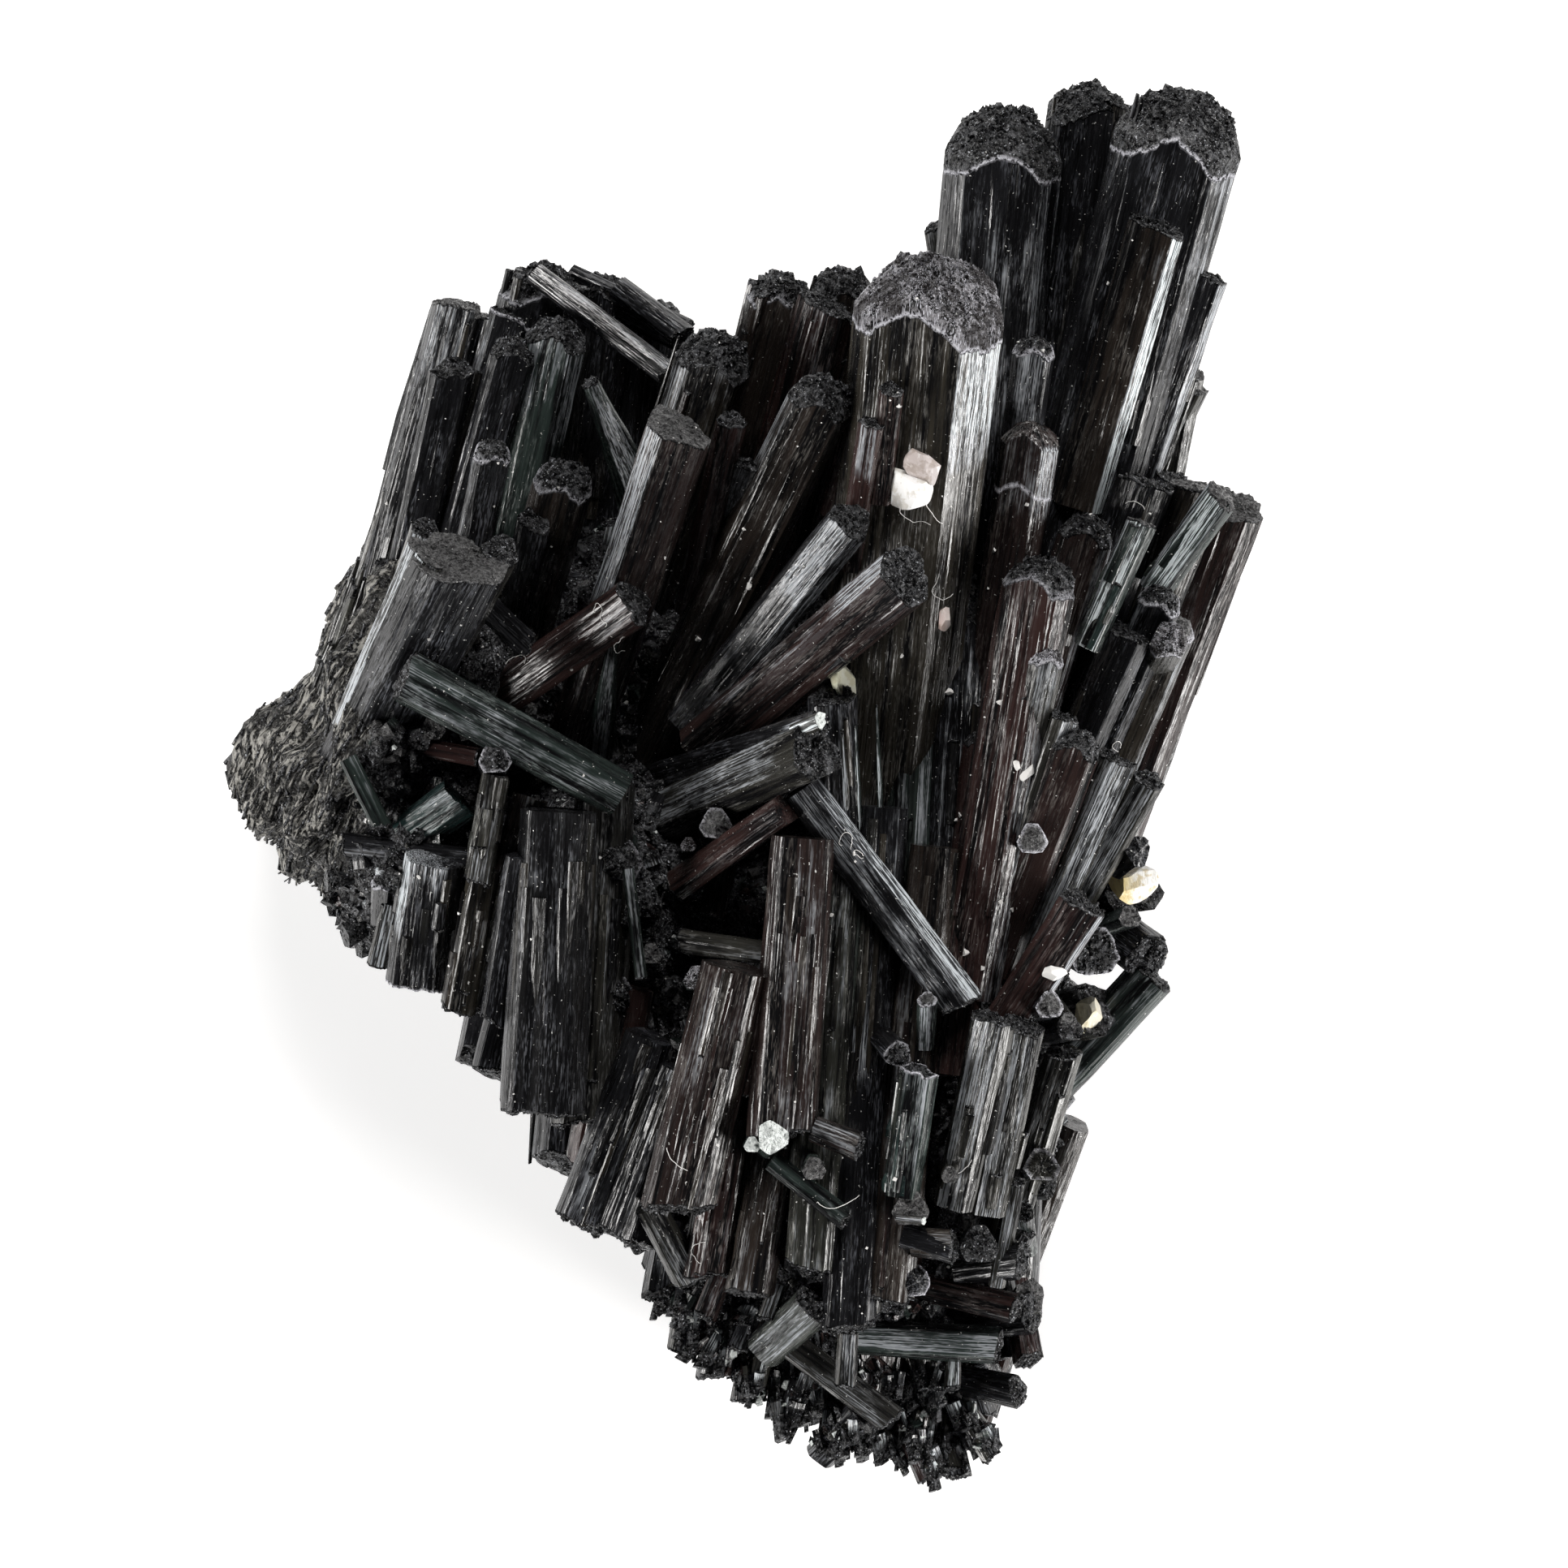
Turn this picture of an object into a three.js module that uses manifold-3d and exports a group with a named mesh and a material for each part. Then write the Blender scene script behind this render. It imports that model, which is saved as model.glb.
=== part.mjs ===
// A hand-sized cluster of schorl, the black iron tourmaline: a fan of striated three-sided prisms on a
// crumbled root, with later crystals lying across it and grains of white feldspar between them.
//
// Millimetres. The cluster lies on its flat broken back, at z = 0, with its display side up.
// X runs to the right across the display side and Y runs up it, the way most of the crystals point.
// The origin is on the broken back, in the middle of the cluster.
import * as THREE from "three";
import { mergeVertices } from "three/addons/utils/BufferGeometryUtils.js";
import Module from "manifold-3d";

const wasm = await Module();
wasm.setup();

// Driving dimensions.
const SOCKET_GAP = 0.3; // clearance round a crystal or grain that sits in the cluster but isn't one with it
const LONG_FACE_HALF_ANGLE = 39; // degrees; 30 makes an even hexagon and 60 a plain triangle
const FOOT_SHRINK = 0.9; // a prism is a little narrower at its buried foot
const SHOULDER = 0.42; // height of a domed or pointed end, as a share of the prism's width
const BROKEN_TILT = 0.16; // slope of a broken end
const BELOW = 60; // size of the block that cuts the back flat

// How a prism ends.
const DOME = "dome";
const BROKEN = "broken";
const POINT = "point";

// Every prism is: foot [x, y, z], tip [x, y, z], width, turn of its front face in degrees, end.

// The two tall crystals at the top, the dark one recessed between them, and ribs on their right side.
const TALL_CRYSTALS = [
  [[13.4, 14.0, 14.0], [16.1, 41.4, 19.5], 7.3, 2, DOME],
  [[17.6, 14.0, 12.5], [21.6, 43.0, 15.5], 6.6, 20, DOME],
  [[19.8, 14.0, 16.0], [27.4, 42.4, 20.5], 8.2, -9, DOME],
  [[20.4, 17.0, 19.0], [25.3, 34.4, 23.4], 3.7, 30, DOME],
  [[23.4, 17.0, 16.5], [28.2, 31.6, 19.5], 3.4, 25, BROKEN],
  [[20.4, 10.0, 8.0], [27.4, 25.3, 13.0], 3.2, 10, BROKEN],
];

// The broad centre crystal and the shorter ones in front of the tall pair.
const CENTRE_CRYSTALS = [
  [[7.9, -3.0, 18.5], [11.7, 32.1, 29.0], 9.6, -8, DOME],
  [[15.4, 10.0, 17.0], [17.8, 27.2, 23.5], 2.6, 0, DOME],
  [[14.6, 2.0, 21.0], [17.6, 22.0, 25.5], 3.8, -12, DOME],
  [[17.0, 2.0, 21.0], [21.2, 16.2, 25.2], 3.5, 0, DOME],
  [[13.6, -13.0, 23.0], [18.3, 13.6, 28.2], 4.8, -20, DOME],
  [[16.6, -1.0, 25.5], [18.5, 8.1, 29.2], 2.2, 15, DOME],
  [[14.7, -10.6, 24.0], [19.5, 4.1, 28.0], 1.9, 40, BROKEN],
];

// The fan of diagonal crystals that rises out of the hollow to the upper right.
const HOLLOW_FAN = [
  [[-10.9, 1.6, 15.0], [-4.0, 21.9, 29.0], 4.4, -25, BROKEN],
  [[-3.6, 10.5, 19.0], [-0.8, 22.2, 27.5], 1.9, 10, BROKEN],
  [[-7.8, 7.6, 11.5], [-1.5, 27.2, 24.6], 4.9, 5, DOME],
  [[-3.2, 8.5, 10.5], [2.5, 31.0, 21.5], 4.4, 0, DOME],
  [[0.6, 8.5, 10.5], [6.3, 31.4, 21.5], 4.2, 12, DOME],
  [[-0.6, 8.0, 12.0], [5.2, 29.4, 24.0], 3.9, -6, BROKEN],
  [[-6.4, 1.2, 13.5], [5.2, 24.4, 28.5], 4.1, 8, DOME],
  [[5.3, 16.5, 22.5], [8.1, 25.8, 28.6], 2.0, 0, DOME],
  [[-3.6, 3.6, 17.0], [6.6, 16.0, 30.0], 2.9, 20, BROKEN],
  [[-2.6, 2.2, 18.0], [10.0, 12.8, 32.0], 4.1, -12, BROKEN],
  [[-1.2, 2.8, 19.0], [6.0, 8.2, 27.5], 2.1, 0, BROKEN],
];

// The left group: tall columns at the edge, the stout block with the broken top, stubs in the hollow.
const LEFT_CRYSTALS = [
  [[-24.2, 4.0, 10.5], [-17.2, 29.6, 16.5], 4.3, -15, BROKEN],
  [[-19.2, 12.0, 14.5], [-14.4, 28.8, 19.0], 2.9, 0, BROKEN],
  [[-16.2, 14.5, 13.0], [-12.0, 31.7, 17.0], 6.0, 10, DOME],
  [[-11.2, 14.5, 12.0], [-8.9, 31.3, 15.0], 4.8, 0, DOME],
  [[-8.2, 14.0, 10.5], [-6.6, 29.4, 12.5], 5.0, 0, BROKEN],
  [[-14.7, 13.5, 16.5], [-11.3, 28.4, 21.0], 3.9, -10, DOME],
  [[-17.7, 14.5, 17.0], [-13.9, 27.2, 21.5], 3.1, 5, DOME],
  [[-21.2, 11.5, 16.0], [-17.9, 25.6, 20.0], 2.8, 0, BROKEN],
  [[-18.2, 7.6, 15.0], [-15.4, 20.7, 24.5], 2.5, 20, DOME],
  [[-14.6, 6.0, 13.0], [-10.8, 19.3, 24.0], 3.8, 0, DOME],
  [[-25.0, -1.0, 15.0], [-17.2, 13.8, 29.5], 6.0, -22, BROKEN],
  [[-18.2, 8.0, 21.0], [-14.8, 14.2, 28.2], 2.5, 10, BROKEN],
  [[-22.6, 7.0, 17.0], [-19.5, 15.6, 26.0], 1.9, 0, BROKEN],
  [[-25.6, 2.0, 9.5], [-20.6, 18.2, 14.0], 3.8, -20, BROKEN],
  [[-26.8, 0.6, 11.0], [-22.2, 13.6, 17.0], 3.6, -10, BROKEN],
  [[-28.2, -1.0, 10.0], [-24.2, 8.4, 16.0], 3.6, -25, BROKEN],
  [[-10.9, 31.0, 15.0], [-3.5, 27.4, 17.0], 2.7, 20, BROKEN],
  [[-4.4, 12.0, 14.0], [-9.6, 24.6, 22.5], 3.6, 15, POINT],
];

// The right group: the block of columns with one broken top, and the shorter crystals in front of it.
const RIGHT_CRYSTALS = [
  [[22.6, -3.0, 15.5], [30.0, 17.4, 20.5], 4.2, 15, BROKEN],
  [[21.8, 2.0, 17.5], [28.0, 18.2, 22.5], 3.9, -28, BROKEN],
  [[19.3, 3.0, 18.5], [24.7, 18.6, 23.3], 3.9, -25, BROKEN],
  [[21.5, 2.0, 12.0], [26.8, 18.8, 16.5], 4.4, 0, BROKEN],
  [[19.6, -2.5, 17.0], [25.7, 11.7, 25.0], 2.8, 0, DOME],
  [[21.2, -3.0, 15.5], [26.5, 10.1, 23.6], 2.8, 10, DOME],
  [[17.8, -4.0, 17.5], [23.5, 9.3, 25.0], 3.2, -10, BROKEN],
  [[15.1, -11.5, 23.0], [20.5, 3.1, 28.0], 3.3, 0, DOME],
  [[17.1, -11.5, 22.0], [22.8, 1.6, 26.6], 2.7, 30, BROKEN],
  [[18.8, -10.5, 19.5], [24.8, 0.3, 24.0], 2.1, 0, BROKEN],
  [[14.5, -17.0, 23.0], [20.9, -6.9, 27.6], 3.5, -20, BROKEN],
  [[19.6, -8.0, 13.0], [24.1, -4.2, 22.5], 2.1, 0, BROKEN],
  [[17.6, -8.2, 16.0], [21.6, -10.6, 24.0], 3.4, 0, BROKEN],
  [[18.6, -6.0, 14.0], [25.0, -11.0, 19.0], 3.2, 0, BROKEN],
  [[15.6, -22.4, 13.5], [25.2, -11.8, 17.5], 3.0, 0, BROKEN],
  [[16.2, -14.8, 17.0], [18.7, -13.6, 27.0], 1.8, 0, BROKEN],
  [[13.2, -30.0, 19.0], [17.2, -29.4, 22.0], 2.4, 0, BROKEN],
  [[9.6, -33.6, 13.0], [17.9, -32.8, 17.5], 2.7, 0, BROKEN],
];

// The front ledge: columns that start below the hollow and break off along the lower edge.
const LEDGE_CRYSTALS = [
  [[-11.4, -1.8, 25.5], [-12.5, -20.5, 24.0], 5.3, 5, BROKEN],
  [[-8.6, -0.2, 22.0], [-10.0, -21.0, 21.5], 4.2, -10, BROKEN],
  [[-13.2, -1.0, 20.5], [-17.0, -14.2, 20.5], 2.5, 0, BROKEN],
  [[-19.0, -4.6, 23.5], [-20.1, -12.6, 19.0], 4.4, 10, BROKEN],
  [[-13.4, -8.0, 19.0], [-15.8, -18.0, 19.5], 2.2, 0, BROKEN],
  [[-5.9, -15.6, 24.5], [-10.3, -27.4, 21.5], 3.3, 0, BROKEN],
  [[-4.2, -17.6, 25.0], [-8.1, -28.0, 22.5], 2.5, 20, BROKEN],
  [[-7.3, -12.6, 22.0], [-9.4, -24.0, 20.0], 3.7, 0, BROKEN],
  [[-0.5, -11.4, 27.5], [-4.1, -26.4, 25.0], 4.7, 8, BROKEN],
  [[3.5, -3.4, 28.0], [2.1, -22.0, 26.5], 4.3, -6, BROKEN],
  [[5.9, -4.6, 26.0], [4.0, -30.0, 24.0], 3.3, 12, BROKEN],
  [[8.4, -1.6, 25.0], [6.2, -33.8, 23.5], 3.5, 0, BROKEN],
  [[11.6, -4.0, 25.0], [8.6, -32.0, 23.5], 3.5, 15, BROKEN],
  [[-0.8, -20.5, 23.5], [-2.5, -30.6, 22.0], 3.2, 0, BROKEN],
  [[2.2, -20.0, 24.0], [0.2, -31.6, 22.5], 3.1, 10, BROKEN],
  [[12.8, -26.0, 24.0], [15.3, -14.2, 27.6], 2.9, -18, BROKEN],
  [[14.7, -26.4, 23.0], [17.0, -14.6, 26.6], 2.7, 10, BROKEN],
  [[9.6, -25.2, 25.5], [10.6, -17.4, 28.4], 2.0, 0, BROKEN],
  [[15.4, -30.2, 18.5], [19.6, -16.4, 21.5], 2.3, 0, BROKEN],
  [[9.4, -15.4, 23.5], [11.2, 13.4, 21.5], 3.5, 0, DOME],
  [[11.4, -18.0, 23.5], [13.3, 10.4, 22.0], 3.5, 20, DOME],
  [[12.4, -18.0, 24.0], [15.0, 3.4, 23.5], 3.3, 0, DOME],
  [[5.9, -8.0, 24.5], [5.3, 5.6, 26.0], 3.0, 0, BROKEN],
  [[10.2, -36.0, 13.0], [12.6, -43.0, 14.0], 2.7, 0, BROKEN],
  [[4.6, -41.6, 15.5], [7.5, -38.8, 19.0], 2.7, 0, BROKEN],
];

// Short crystals that lie every way over the ledge and in the hollow, each grown into what it lies on.
const SHORT_CRYSTALS = [
  [[-5.6, -2.6, 17.0], [4.5, 1.9, 30.6], 3.9, -30, BROKEN],
  [[2.4, -1.8, 28.5], [-4.3, -6.6, 21.5], 2.3, 0, BROKEN],
  [[2.0, -10.6, 26.0], [-4.0, -9.8, 23.0], 1.6, 0, BROKEN],
  [[-15.2, 5.2, 18.5], [-6.6, 11.1, 25.0], 3.1, 0, BROKEN],
  [[-9.2, 0.2, 14.0], [-8.1, 8.8, 24.0], 1.9, 0, POINT],
  [[-20.8, -3.4, 20.0], [-17.3, -1.0, 25.4], 3.1, 0, BROKEN],
  [[-15.6, -5.0, 24.0], [-24.6, -3.9, 20.5], 1.6, 0, BROKEN],
  [[8.4, -30.6, 17.5], [16.9, -32.5, 20.5], 2.0, 0, BROKEN],
  [[2.6, -34.5, 20.5], [9.1, -39.4, 19.0], 2.0, 0, BROKEN],
  [[1.2, -35.0, 19.5], [4.7, -31.7, 24.5], 2.8, 0, BROKEN],
  [[14.0, -28.6, 18.0], [14.3, -28.4, 25.6], 2.5, 0, BROKEN],
  [[1.2, -22.4, 22.0], [1.5, -21.5, 29.4], 2.4, 0, BROKEN],
];

// The hidden back: stout prisms cut through by the flat break.
const BACK_CRYSTALS = [
  [[-18.0, -2.0, 2.0], [-12.6, 25.5, 3.5], 8.5, 0, BROKEN],
  [[-6.0, -2.0, 2.0], [-3.2, 24.5, 4.0], 9.0, 20, DOME],
  [[3.5, -4.0, 2.5], [7.6, 27.5, 5.5], 9.5, -10, DOME],
  [[13.0, 0.0, 3.0], [20.4, 36.0, 9.5], 9.0, 25, BROKEN],
  [[15.0, -8.0, 2.5], [24.8, 13.0, 4.5], 8.5, 10, BROKEN],
  [[12.0, -18.0, 2.5], [19.4, -4.0, 4.0], 9.0, 0, BROKEN],
  [[-12.0, -1.0, 2.0], [-14.0, -16.0, 3.5], 8.5, 0, BROKEN],
  [[-3.0, -4.0, 2.0], [-5.0, -25.0, 4.0], 9.5, 20, BROKEN],
  [[5.5, -10.0, 2.0], [3.6, -34.0, 4.0], 9.5, -15, BROKEN],
  [[10.0, -14.0, 2.5], [12.4, -37.0, 4.0], 8.0, 0, BROKEN],
];

// The sides: a row of stout prisms between the display side and the back, broken off at the edge.
const SIDE_CRYSTALS = [
  [[-17.0, -2.0, 13.0], [-20.2, -11.6, 14.5], 5.5, 0, BROKEN],
  [[-13.0, -4.0, 13.0], [-15.4, -18.4, 14.5], 5.5, 20, BROKEN],
  [[-9.0, -6.0, 13.0], [-10.4, -24.4, 15.5], 6.0, 0, BROKEN],
  [[-4.0, -10.0, 14.0], [-6.6, -28.8, 15.5], 6.0, -15, BROKEN],
  [[1.0, -14.0, 14.0], [-1.6, -32.4, 15.5], 6.0, 10, BROKEN],
  [[5.0, -16.0, 13.0], [3.4, -37.4, 14.0], 6.0, 0, BROKEN],
  [[9.0, -18.0, 12.0], [8.8, -40.6, 12.0], 6.0, 25, BROKEN],
  [[11.0, -18.0, 13.0], [14.2, -36.4, 13.0], 5.5, 0, BROKEN],
  [[16.5, -15.5, 11.0], [21.8, -14.0, 18.5], 3.6, 0, BROKEN],
  [[20.0, -7.4, 11.0], [24.0, -6.6, 19.5], 3.6, 0, BROKEN],
  [[19.0, -3.0, 12.0], [26.4, 13.4, 15.0], 6.0, 0, BROKEN],
  [[-21.0, 1.0, 9.0], [-18.6, 21.0, 10.5], 7.0, 0, BROKEN],
];

// Lumps of the crumbled root that everything grew from: centre, half sizes.
const ROOT_LUMPS = [
  [[-25.4, -0.2, 7.0], [5.9, 5.6, 13.5]],
  [[-22.4, 2.6, 9.5], [5.4, 7.6, 14.0]],
  [[-20.0, -4.6, 9.0], [6.4, 6.6, 14.0]],
  [[-18.5, 7.0, 7.0], [7.5, 9.0, 15.0]],
  [[-9.0, 8.0, 5.0], [9.5, 11.0, 12.5]],
  [[-8.5, -8.0, 8.0], [8.6, 11.0, 15.0]],
  [[1.5, 3.0, 4.0], [11.0, 13.0, 12.0]],
  [[2.0, -17.0, 7.0], [9.5, 14.0, 17.0]],
  [[8.0, -32.0, 5.5], [8.0, 8.4, 15.0]],
  [[12.5, 1.0, 6.0], [9.0, 13.0, 16.0]],
  [[14.5, -15.0, 6.5], [7.0, 14.0, 15.0]],
];

// Separate crystals that lie across the cluster and touch it only along one side.
const CROSS_CRYSTALS = {
  cross_crystal_left: [[-7.6, -0.8, 24.6], [-21.2, 6.7, 26.8], 3.4, -12, BROKEN],
  cross_crystal_centre: [[3.5, -0.4, 27.6], [13.5, -13.8, 26.4], 3.1, 10, BROKEN],
  cross_crystal_upper: [[-13.0, 31.2, 18.8], [-4.6, 24.8, 21.8], 1.9, 0, BROKEN],
  cross_crystal_lower: [[6.3, -34.2, 19.2], [15.8, -34.8, 18.2], 2.4, 0, BROKEN],
};

// Grains of white and cream feldspar: centre, half sizes, turn in degrees.
const FELDSPAR_GRAINS = {
  feldspar_grain_white: [[9.5, 17.9, 28.8], [1.4, 1.6, 0.8], 20],
  feldspar_grain_pale: [[11.4, 19.1, 29.3], [1.3, 1.2, 0.8], -25],
  feldspar_flake_cream: [[5.8, 6.1, 24.7], [0.75, 1.4, 0.6], 8],
  feldspar_grain_pink: [[12.1, 10.1, 25.9], [0.55, 0.85, 0.5], 0],
  feldspar_grain_edge: [[23.7, -6.3, 19.9], [1.35, 1.05, 0.9], 20],
  feldspar_grain_low: [[21.1, -14.4, 18.9], [1.05, 0.8, 0.7], 30],
};

const SCHORL = { color: 0x101013, roughness: 0.3, metalness: 0 };
const FELDSPAR = { color: 0xe9e4d2, roughness: 0.55, metalness: 0 };

const radians = THREE.MathUtils.degToRad;

// A repeatable random number from 0 to 1 for each whole number.
function share(n) {
  const wave = Math.sin(n * 127.1 + 11.7) * 43758.5453;
  return wave - Math.floor(wave);
}

// A closed three.js geometry as a solid that can be joined and cut.
function solidOf(geometry) {
  geometry.deleteAttribute("normal");
  geometry.deleteAttribute("uv");
  const merged = mergeVertices(geometry, 1e-4);
  return new wasm.Manifold(
    new wasm.Mesh({
      numProp: 3,
      vertProperties: new Float32Array(merged.attributes.position.array),
      triVerts: new Uint32Array(merged.index.array),
    }),
  );
}

// A solid back as a three.js mesh.
function meshOf(name, solid, surface) {
  const { vertProperties, triVerts } = solid.getMesh();
  const geometry = new THREE.BufferGeometry();
  geometry.setAttribute("position", new THREE.BufferAttribute(vertProperties, 3));
  geometry.setIndex(new THREE.BufferAttribute(triVerts, 1));
  geometry.computeVertexNormals();
  const mesh = new THREE.Mesh(geometry, new THREE.MeshStandardMaterial(surface));
  mesh.name = name;
  return mesh;
}

// The half outline of a prism of this length and radius, from its foot to the middle of its end.
function profile(end, length, radius) {
  const shoulder = 2 * radius * SHOULDER;
  const points = [
    new THREE.Vector2(0, 0),
    new THREE.Vector2(radius * FOOT_SHRINK, 0),
  ];
  if (end === BROKEN) {
    points.push(new THREE.Vector2(radius, length));
  } else if (end === DOME) {
    points.push(new THREE.Vector2(radius, length - shoulder));
    points.push(new THREE.Vector2(radius * 0.66, length - shoulder * 0.22));
  } else {
    points.push(new THREE.Vector2(radius * 0.94, length * 0.35));
    points.push(new THREE.Vector2(radius * 0.3, length * 0.96));
  }
  points.push(new THREE.Vector2(0, length));
  return points;
}

// One schorl prism: six sides, three long and three short, as a lathe of six steps whose corners are
// then drawn together in pairs. Its own axis is Z, and its front face looks along its own -Y.
function prismGeometry(length, width, end, seed) {
  const corners = 6;
  const geometry = new THREE.LatheGeometry(profile(end, length, width / 2), corners);
  geometry.rotateX(Math.PI / 2);
  const position = geometry.attributes.position;
  const point = new THREE.Vector3();
  for (let i = 0; i < position.count; i++) {
    point.fromBufferAttribute(position, i);
    const radius = Math.hypot(point.x, point.y);
    if (radius > 1e-6) {
      const turns = Math.atan2(point.y, point.x) / (2 * Math.PI);
      const step = Math.round(turns * corners + 0.5);
      const corner = ((step % corners) + corners) % corners;
      const pair = Math.floor(corner / 2);
      const side = corner % 2 === 0 ? -1 : 1;
      const angle = radians(-90 + 120 * pair + side * LONG_FACE_HALF_ANGLE);
      const wobble = 1 + 0.1 * (share(seed * 7 + corner) - 0.5);
      point.x = radius * wobble * Math.cos(angle);
      point.y = radius * wobble * Math.sin(angle);
    }
    if (end === BROKEN && point.z > length * 0.5) {
      const slope = BROKEN_TILT * (share(seed) - 0.5) * 2;
      point.z += slope * point.x - Math.abs(slope) * width * 0.5;
    }
    position.setXYZ(i, point.x, point.y, point.z);
  }
  return geometry;
}

// Stands a prism on its foot and points it at its tip, with its front face turned towards the viewer.
function prism([foot, tip, width, turn, end], seed, swell = 0) {
  const from = new THREE.Vector3(...foot);
  const axis = new THREE.Vector3(...tip).sub(from);
  const length = axis.length();
  axis.normalize();
  const viewer = Math.abs(axis.z) < 0.9 ? new THREE.Vector3(0, 0, 1) : new THREE.Vector3(0, -1, 0);
  const front = viewer.addScaledVector(axis, -viewer.dot(axis)).normalize();
  const back = front.clone().negate().applyAxisAngle(axis, radians(turn));
  const right = new THREE.Vector3().crossVectors(back, axis);
  const geometry = prismGeometry(length + 2 * swell, width + 2 * swell, end, seed);
  const place = new THREE.Matrix4().makeBasis(right, back, axis);
  place.setPosition(from.addScaledVector(axis, -swell));
  geometry.applyMatrix4(place);
  return solidOf(geometry);
}

// A lump of root: a ball of flat facets, pushed in and out and stretched to its half sizes.
function lump([centre, halfSizes], seed) {
  const geometry = new THREE.IcosahedronGeometry(1, 1);
  const position = geometry.attributes.position;
  const point = new THREE.Vector3();
  for (let i = 0; i < position.count; i++) {
    point.fromBufferAttribute(position, i);
    const waves =
      Math.sin(5 * point.x + seed) + Math.sin(6 * point.y + 2 * seed) + Math.sin(7 * point.z + 3 * seed);
    point.multiplyScalar(1 + 0.05 * waves);
    position.setXYZ(i, point.x, point.y, point.z);
  }
  geometry.scale(...halfSizes);
  geometry.translate(...centre);
  return solidOf(geometry);
}

// A grain of feldspar: an uneven block of twenty cleaved faces, or the socket that it sits in.
function grain([centre, halfSizes, turn], seed, swell = 0) {
  const geometry = new THREE.IcosahedronGeometry(1, 0);
  const position = geometry.attributes.position;
  const point = new THREE.Vector3();
  for (let i = 0; i < position.count; i++) {
    point.fromBufferAttribute(position, i);
    point.multiplyScalar(1 + 0.12 * Math.sin(9 * point.x + 7 * point.y + 5 * point.z + seed));
    position.setXYZ(i, point.x, point.y, point.z);
  }
  geometry.scale(...halfSizes.map((half) => half + swell));
  geometry.rotateZ(radians(turn));
  geometry.translate(...centre);
  return solidOf(geometry);
}

// Everything below the flat break.
function blockBelow() {
  const geometry = new THREE.BoxGeometry(2 * BELOW, 2 * BELOW, BELOW);
  geometry.translate(0, 0, -BELOW / 2);
  return solidOf(geometry);
}

// The largest body of a solid, with any hollow sealed inside it filled.
function wholeBody(solid) {
  return solid.decompose().reduce((most, body) => (body.volume() > most.volume() ? body : most));
}

function cluster() {
  const prisms = [
    ...TALL_CRYSTALS,
    ...CENTRE_CRYSTALS,
    ...HOLLOW_FAN,
    ...LEFT_CRYSTALS,
    ...RIGHT_CRYSTALS,
    ...LEDGE_CRYSTALS,
    ...SHORT_CRYSTALS,
    ...SIDE_CRYSTALS,
    ...BACK_CRYSTALS,
  ];
  let solid = ROOT_LUMPS.map(lump).reduce((whole, piece) => whole.add(piece));
  prisms.forEach((spec, i) => {
    solid = solid.add(prism(spec, i));
  });
  Object.values(CROSS_CRYSTALS).forEach((spec, i) => {
    solid = solid.subtract(prism(spec, i, SOCKET_GAP));
  });
  Object.values(FELDSPAR_GRAINS).forEach((spec, i) => {
    solid = solid.subtract(grain(spec, i, SOCKET_GAP));
  });
  return wholeBody(solid.subtract(blockBelow()));
}

const group = new THREE.Group();
group.add(meshOf("schorl_cluster", cluster(), SCHORL));
Object.entries(CROSS_CRYSTALS).forEach(([name, spec], i) => {
  group.add(meshOf(name, prism(spec, i), SCHORL));
});
Object.entries(FELDSPAR_GRAINS).forEach(([name, spec], i) => {
  group.add(meshOf(name, grain(spec, i), FELDSPAR));
});

export default group;
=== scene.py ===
import math
import random

import bmesh
import bpy
from mathutils import Matrix, Quaternion, Vector, noise


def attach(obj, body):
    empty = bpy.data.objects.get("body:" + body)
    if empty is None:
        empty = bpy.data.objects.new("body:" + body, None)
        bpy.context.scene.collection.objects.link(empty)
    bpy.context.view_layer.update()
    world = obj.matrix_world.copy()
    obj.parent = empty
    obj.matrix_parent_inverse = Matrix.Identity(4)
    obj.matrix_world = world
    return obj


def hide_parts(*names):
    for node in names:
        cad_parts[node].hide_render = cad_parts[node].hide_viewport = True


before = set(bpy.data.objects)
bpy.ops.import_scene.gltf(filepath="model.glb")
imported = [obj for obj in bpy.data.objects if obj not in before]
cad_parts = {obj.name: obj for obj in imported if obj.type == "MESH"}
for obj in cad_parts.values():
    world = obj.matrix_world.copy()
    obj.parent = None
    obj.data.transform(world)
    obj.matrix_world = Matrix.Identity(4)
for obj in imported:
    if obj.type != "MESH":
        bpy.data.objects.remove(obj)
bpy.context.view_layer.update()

# The table and the light: a white sheet under the cluster, which lies on its flat back and is seen from
# straight above. Soft boxes stand low on both sides and behind it, so that flat faces stay dark and only
# bevels and ribs catch them.
MM = 0.001
SHEET_HALF_WIDTH = 2.0
SHEET_DROP = 0.02 * MM
CLUSTER_MIDDLE = Vector((0, 0, 0.015))
white_sheet = bpy.data.materials.new("white_sheet")
white_sheet.use_nodes = True
paper = white_sheet.node_tree.nodes["Principled BSDF"].inputs
paper["Base Color"].default_value = (0.86, 0.86, 0.86, 1)
paper["Roughness"].default_value = 0.9
paper["Specular IOR Level"].default_value = 0.1
paper["Emission Color"].default_value = (1, 1, 1, 1)
paper["Emission Strength"].default_value = 0.5

sheet = bmesh.new()
bmesh.ops.create_grid(sheet, x_segments=1, y_segments=1, size=SHEET_HALF_WIDTH)
bmesh.ops.translate(sheet, vec=(0, 0, -SHEET_DROP), verts=sheet.verts)
sheet_mesh = bpy.data.meshes.new("white_sheet")
sheet.to_mesh(sheet_mesh)
sheet.free()
sheet_mesh.materials.append(white_sheet)
floor = bpy.data.objects.new("white_sheet", sheet_mesh)
bpy.context.collection.objects.link(floor)


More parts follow.
